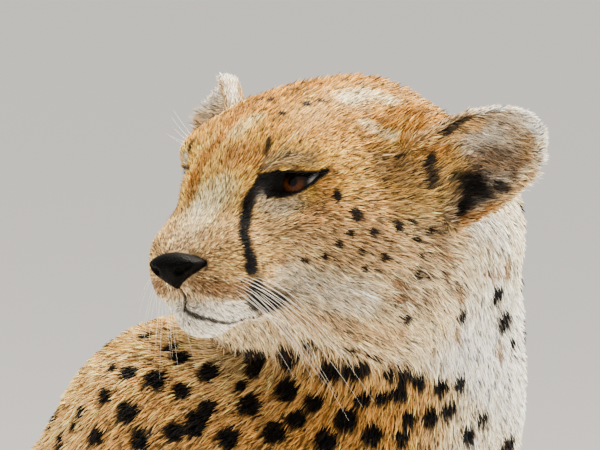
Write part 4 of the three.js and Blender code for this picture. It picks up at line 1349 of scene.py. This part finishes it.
def make_nose():
    step = 0.8
    axes = [np.arange(low, high, step) for low, high in ((-4, 26), (-22, 22.01), (-18, 14))]
    points, quads = surface_nets(lambda q: nose_field(q.astype(float)).astype(q.dtype), axes)
    points = settled(nose_field, points)
    # Lighter towards the pad's top: a painted highlight on its near-black leather.
    shade = 0.012 + 0.022 * rise(points[:, 2], 1, 6)
    mesh = mesh_of("nose_pad", from_head(points), quads)
    paint(mesh, shade[:, None] * vec(1, 0.94, 0.9))
    piece("nose_pad", mesh, NOSE_PAD, ["nose"])


# ---------------- eyes
GAZE = (-14, 4, 2.5)
IRIS, PUPIL = 6.9, 2.7
EYE_RINGS, EYE_TURNS = 48, 64


def rings_of_faces(rings, turns):
    """The corners of each quad between rings of points: one and its next in line, and their neighbours."""
    for r in range(rings - 1):
        for k in range(turns):
            p, q = r * turns + k, r * turns + (k + 1) % turns
            yield p, p + turns, q + turns, q


def ball(gaze):
    """Directions over a ball from the gaze round to its back, their angles and turns, and its triangles."""
    up = unit(vec(0, 0, 1) - gaze * gaze[2])
    aside = np.cross(gaze, up)
    angle = np.linspace(0, math.pi, EYE_RINGS + 1)[1:-1]
    turn = np.linspace(0, 2 * math.pi, EYE_TURNS, endpoint=False)
    a, t = (grid.ravel() for grid in np.meshgrid(angle, turn, indexing="ij"))
    outward = np.cos(t)[:, None] * up + np.sin(t)[:, None] * aside
    directions = np.vstack([gaze, np.cos(a)[:, None] * gaze + np.sin(a)[:, None] * outward, -gaze])
    faces, last = [], len(directions) - 1
    for p, p2, q2, q in rings_of_faces(EYE_RINGS - 1, EYE_TURNS):
        faces += [(1 + p, 1 + p2, 1 + q2), (1 + p, 1 + q2, 1 + q)]
    for k in range(EYE_TURNS):
        q = (k + 1) % EYE_TURNS
        faces += [(0, 1 + k, 1 + q), (last, last - EYE_TURNS + q, last - EYE_TURNS + k)]
    return directions, np.concatenate([[0], a, [math.pi]]), np.concatenate([[0], t, [0]]), faces


def eye_colour(places, side, reach, around):
    """The iris with its streaks, the pupil, and the dark and the pale of the rest, shaded under the lid."""
    streak = 0.5 + 0.5 * np.sin(around * 23 + 2 * np.sin(around * 7))
    iris = mixed(np.tile(vec(0.27, 0.135, 0.055), (len(reach), 1)), (0.43, 0.23, 0.09), 0.6 * streak)
    iris = mixed(iris, (0.13, 0.065, 0.03), rise(reach, IRIS - 2.2, IRIS))
    t, y, _ = eye_place(places, side)
    inside = np.clip(t, 0, 1)
    outer = rise(t, 0.6, 0.74) * rise(reach, IRIS, IRIS + 1.2) * fall(y - lower_lid(inside), 1.0, 2.1)
    # The rest of the ball is dark, partly its own dark sclera and partly painted shade in the eye's
    # corners, with a pale strip by the outer corner.
    white = mixed(np.tile(vec(0.10, 0.075, 0.06), (len(reach), 1)), (0.80, 0.78, 0.77), outer)
    colour = mixed(iris, white, rise(reach, IRIS - 0.3, IRIS + 0.6))
    colour = mixed(colour, (0.01, 0.008, 0.006), fall(reach, PUPIL - 0.9, PUPIL + 0.5))
    shade = 0.2 + 0.8 * rise(upper_lid(inside) - y, 1.0, 7.0)
    return colour * (shade + (1 - shade) * 0.85 * outer)[:, None]


def make_eye(name, side):
    """A ball that bulges at the cornea, with its iris and pupil painted on, under a clear coat."""
    directions, angle, around, faces = ball(unit(vec(*mirrored(GAZE, side))))
    reach = angle * EYEBALL
    bulge = 0.7 * np.exp(-(reach / 9) ** 4)
    places = directions * (EYEBALL - 0.35 + bulge)[:, None] + vec(*mirrored(EYE, side))
    mesh = mesh_of(f"eyeball_{name}", from_head(places), faces)
    paint(mesh, eye_colour(places, side, reach, around))
    piece(f"eyeball_{name}", mesh, EYE_BALL, [f"eye_{name}"])


# ---------------- claws and whiskers
def tube(path, radii, sides):
    """Points and triangles of a closed tapering tube along a path."""
    path = np.asarray(path)
    ahead = unit(np.gradient(path, axis=0))
    start = unit(np.cross(ahead[0], vec(0.3, 0.2, 0.93)))
    side = unit(start - (ahead * start).sum(axis=1)[:, None] * ahead)
    over = np.cross(ahead, side)
    turn = np.arange(sides) * 2 * math.pi / sides
    ring = np.cos(turn)[None, :, None] * side[:, None] + np.sin(turn)[None, :, None] * over[:, None]
    points = (path[:, None] + ring * np.asarray(radii)[:, None, None]).reshape(-1, 3)
    points = np.vstack([points, path[0], path[-1]])
    faces, foot, end = [], len(path) * sides, (len(path) - 1) * sides
    for p, p2, q2, q in rings_of_faces(len(path), sides):
        faces += [(p, q, q2), (p, q2, p2)]
    for k in range(sides):
        q = (k + 1) % sides
        faces += [(foot, q, k), (foot + 1, end + k, end + q)]
    return points, faces


def make_claw(name, tip):
    """A claw that curves down from a toe's tip, dark at its root."""
    t = np.linspace(0, 1, 8)
    path = np.stack([tip[0] + 5 + 15.2 * t, tip[1] + 0 * t, tip[2] + 3.4 - 9.6 * t**2], axis=1)
    path[:, 2] = np.maximum(path[:, 2], 1.2)
    points, faces = tube(path, 3.0 * (1 - t) ** 0.7 + 0.3, 10)
    mesh = mesh_of(name + "_horn", points, faces)
    along = rise(points[:, 0], tip[0] + 6, tip[0] + 20)[:, None]
    paint(mesh, vec(0.13, 0.10, 0.085) * (1 - along) + vec(0.34, 0.28, 0.22) * along)
    piece(name + "_horn", mesh, CLAW, [name])


def make_claws():
    for end, centre, toes in (("fore", "forePaw", "foreToes"), ("hind", "hindPaw", "hindToes")):
        for name, side in (("left", 1), ("right", -1)):
            for toe in range(4):
                _, tip = toe_points(mirrored(JOINT[centre], side), mirrored(JOINT[toes], side), toe)
                make_claw(f"claw_{end}_{name}_{toe + 1}", tip)


WHISKER_ROWS, WHISKERS_IN_ROW, BROW_HAIRS, LASHES = 4, 5, 5, 11
WHISKER_DEPTH = 2.5  # of the root under the outline, in mm


def whisker_paths():
    """Whiskers in rows, brow hairs and lashes: start, way, length, droop, side, radius and tone of each."""
    white, dark = vec(0.95, 0.92, 0.87), vec(0.06, 0.05, 0.04)
    for side in SIDES:
        for row in range(WHISKER_ROWS):
            for k in range(WHISKERS_IN_ROW):
                start = vec(24 + 4.4 * k + row, 27, -5 - 3.8 * row + 0.5 * k)
                way = vec(0.62 + 0.1 * k, 0.8 - 0.06 * k, -0.34 - 0.17 * row) + rng.normal(0, 0.09, 3)
                length = rng.uniform(34, 60) * (0.8 + 0.08 * k)
                yield start, way, length, -0.0065 - 0.002 * side, side, 0.125, white
        for k in range(BROW_HAIRS):
            way = vec(-0.35 + 0.12 * k, 0.8, 0.4 + 0.08 * k) + rng.normal(0, 0.1, 3)
            yield vec(56 + 4 * k, 34, 64), way, rng.uniform(12, 20), 0.004, side, 0.11, white
        for k in range(LASHES):
            t = 0.12 + 0.075 * k
            span = vec(*EYE_OUTER) - vec(*EYE_INNER)
            start = vec(*EYE_INNER) + t * span + vec(-2, 3, upper_lid(t) + 0.6)
            way = vec(-0.25 + 0.5 * t, 0.9, 0.25) + rng.normal(0, 0.12, 3)
            yield start, way, rng.uniform(6, 9), -0.01, side, 0.2, dark


def make_whiskers():
    """All the whiskers as one piece, each rooted in the outline of the head."""
    all_points, all_faces, patches, tones, base = [], [], [], [], 0
    for start, way, length, droop, side, radius, tone in whisker_paths():
        s = np.linspace(0, 1, 11)
        run = s[:, None] * length
        path = start + unit(way) * run + vec(0.0012, 0, droop) * run**2
        path[:, 1] *= side
        path = from_head(path)
        root = path[:1]
        for _ in range(6):
            root = root - outer_field(root)[:, None] * slope_of(outer_field, root)[1]
        path += root - path[0] - unit(path[1] - path[0]) * WHISKER_DEPTH
        points, faces = tube(path, radius * (1 - 0.82 * s), 4)
        all_points.append(points)
        all_faces += [tuple(base + i for i in f) for f in faces]
        patches.append(np.tile(path[0], (len(points), 1)))
        tones.append(np.tile(tone, (len(points), 1)))
        base += len(points)
    points = np.vstack(all_points)
    mesh = mesh_of("whiskers", points, all_faces)
    paint(mesh, np.vstack(tones))
    uv = mesh.uv_layers.new(name="OFBake")
    roots = np.vstack(patches)
    place = unwrap(roots, np.tile(vec(0, 0, 1), (len(roots), 1)))
    spread = (points - roots) @ BASIS[:, [0, 2]]
    place += spread / np.abs(spread).max() * PATCH
    uv.data.foreach_set("uv", flat(place[np.array(all_faces).ravel()]))
    piece("whiskers", mesh, WHISKER)


# ---------------- the animal
FLESH = ["head", "neck", "trunk", "ear_left", "ear_right", "tail_root", "tail_middle", "tail_end"]
for part in ("upper_arm", "forearm", "forepaw", "thigh", "hind_foot"):
    FLESH += [f"{part}_left", f"{part}_right"]


def make_animal():
    """The skin, the coat on it, and the pieces that have no hair."""
    mesh, points = make_skin()
    mesh.update()
    normals = np.empty(len(points) * 3, np.float32)
    mesh.vertices.foreach_get("normal", normals)
    normals = normals.reshape(-1, 3).astype(float)
    _, triangles = arrays_of(mesh)
    _, coat, on_head, on_ear = hair_at(points)
    above = points + normals * coat[:, None]
    spots = more_spots(above, normals, on_head, on_ear, *seen_spots())
    paint(mesh, 0.9 * coat_colour(above, normals, on_head, on_ear, spots))
    mesh.vertices.foreach_set("co", flat(points * MM))
    piece("skin", mesh, SKIN, FLESH)
    make_coat(points, normals, triangles, spots)
    make_nose()
    make_eye("left", 1)
    make_eye("right", -1)
    make_claws()
    make_whiskers()


# ---------------- stage
def make_floor():
    mesh = bpy.data.meshes.new("floor")
    mesh.from_pydata([(-40, -40, 0), (40, -40, 0), (40, 40, 0), (-40, 40, 0)], [], [(0, 1, 2, 3)])
    made = added("floor", mesh)
    mesh.materials.append(material("pale_floor", Base_Color=(0.84, 0.82, 0.79, 1), Roughness=0.9))


def make_light(name, place, aim, size, watts, colour):
    data = bpy.data.lights.new(name, "AREA")
    data.size, data.energy, data.color = size, watts, colour
    made = added(name, data)
    made.location = place
    made.rotation_euler = (Vector(aim) - Vector(place)).to_track_quat("-Z", "Y").to_euler()


def make_stage():
    """A pale floor, a warm key light from behind, two weaker lights, and a pale world."""
    make_floor()
    aim = (0.25, -0.08, 0.72)
    make_light("key", (1.0, 0.8, 3.3), aim, 0.8, 430, (1.0, 0.92, 0.77))
    make_light("fill", (-1.4, -0.6, 3.9), aim, 1.2, 120, (1.0, 0.93, 0.82))
    make_light("side", (3.6, 0.6, 1.8), aim, 1.4, 180, (1.0, 0.95, 0.87))
    world = bpy.data.worlds.new("studio")
    world.use_nodes = True
    back = world.node_tree.nodes["Background"]
    back.inputs["Color"].default_value = (0.99, 0.955, 0.895, 1)
    back.inputs["Strength"].default_value = 1.0
    bpy.context.scene.world = world


def make_camera():
    data = bpy.data.cameras.new("camera")
    data.lens, data.sensor_width = LENS_MM, SENSOR_MM
    data.clip_end = 200
    made = added("camera", data)
    made.location = Vector(CAMERA_AT * MM)
    made.rotation_euler = Vector((CAMERA_AIM - CAMERA_AT) * MM).to_track_quat("-Z", "Y").to_euler()
    bpy.context.scene.camera = made


make_camera()
make_stage()
make_animal()
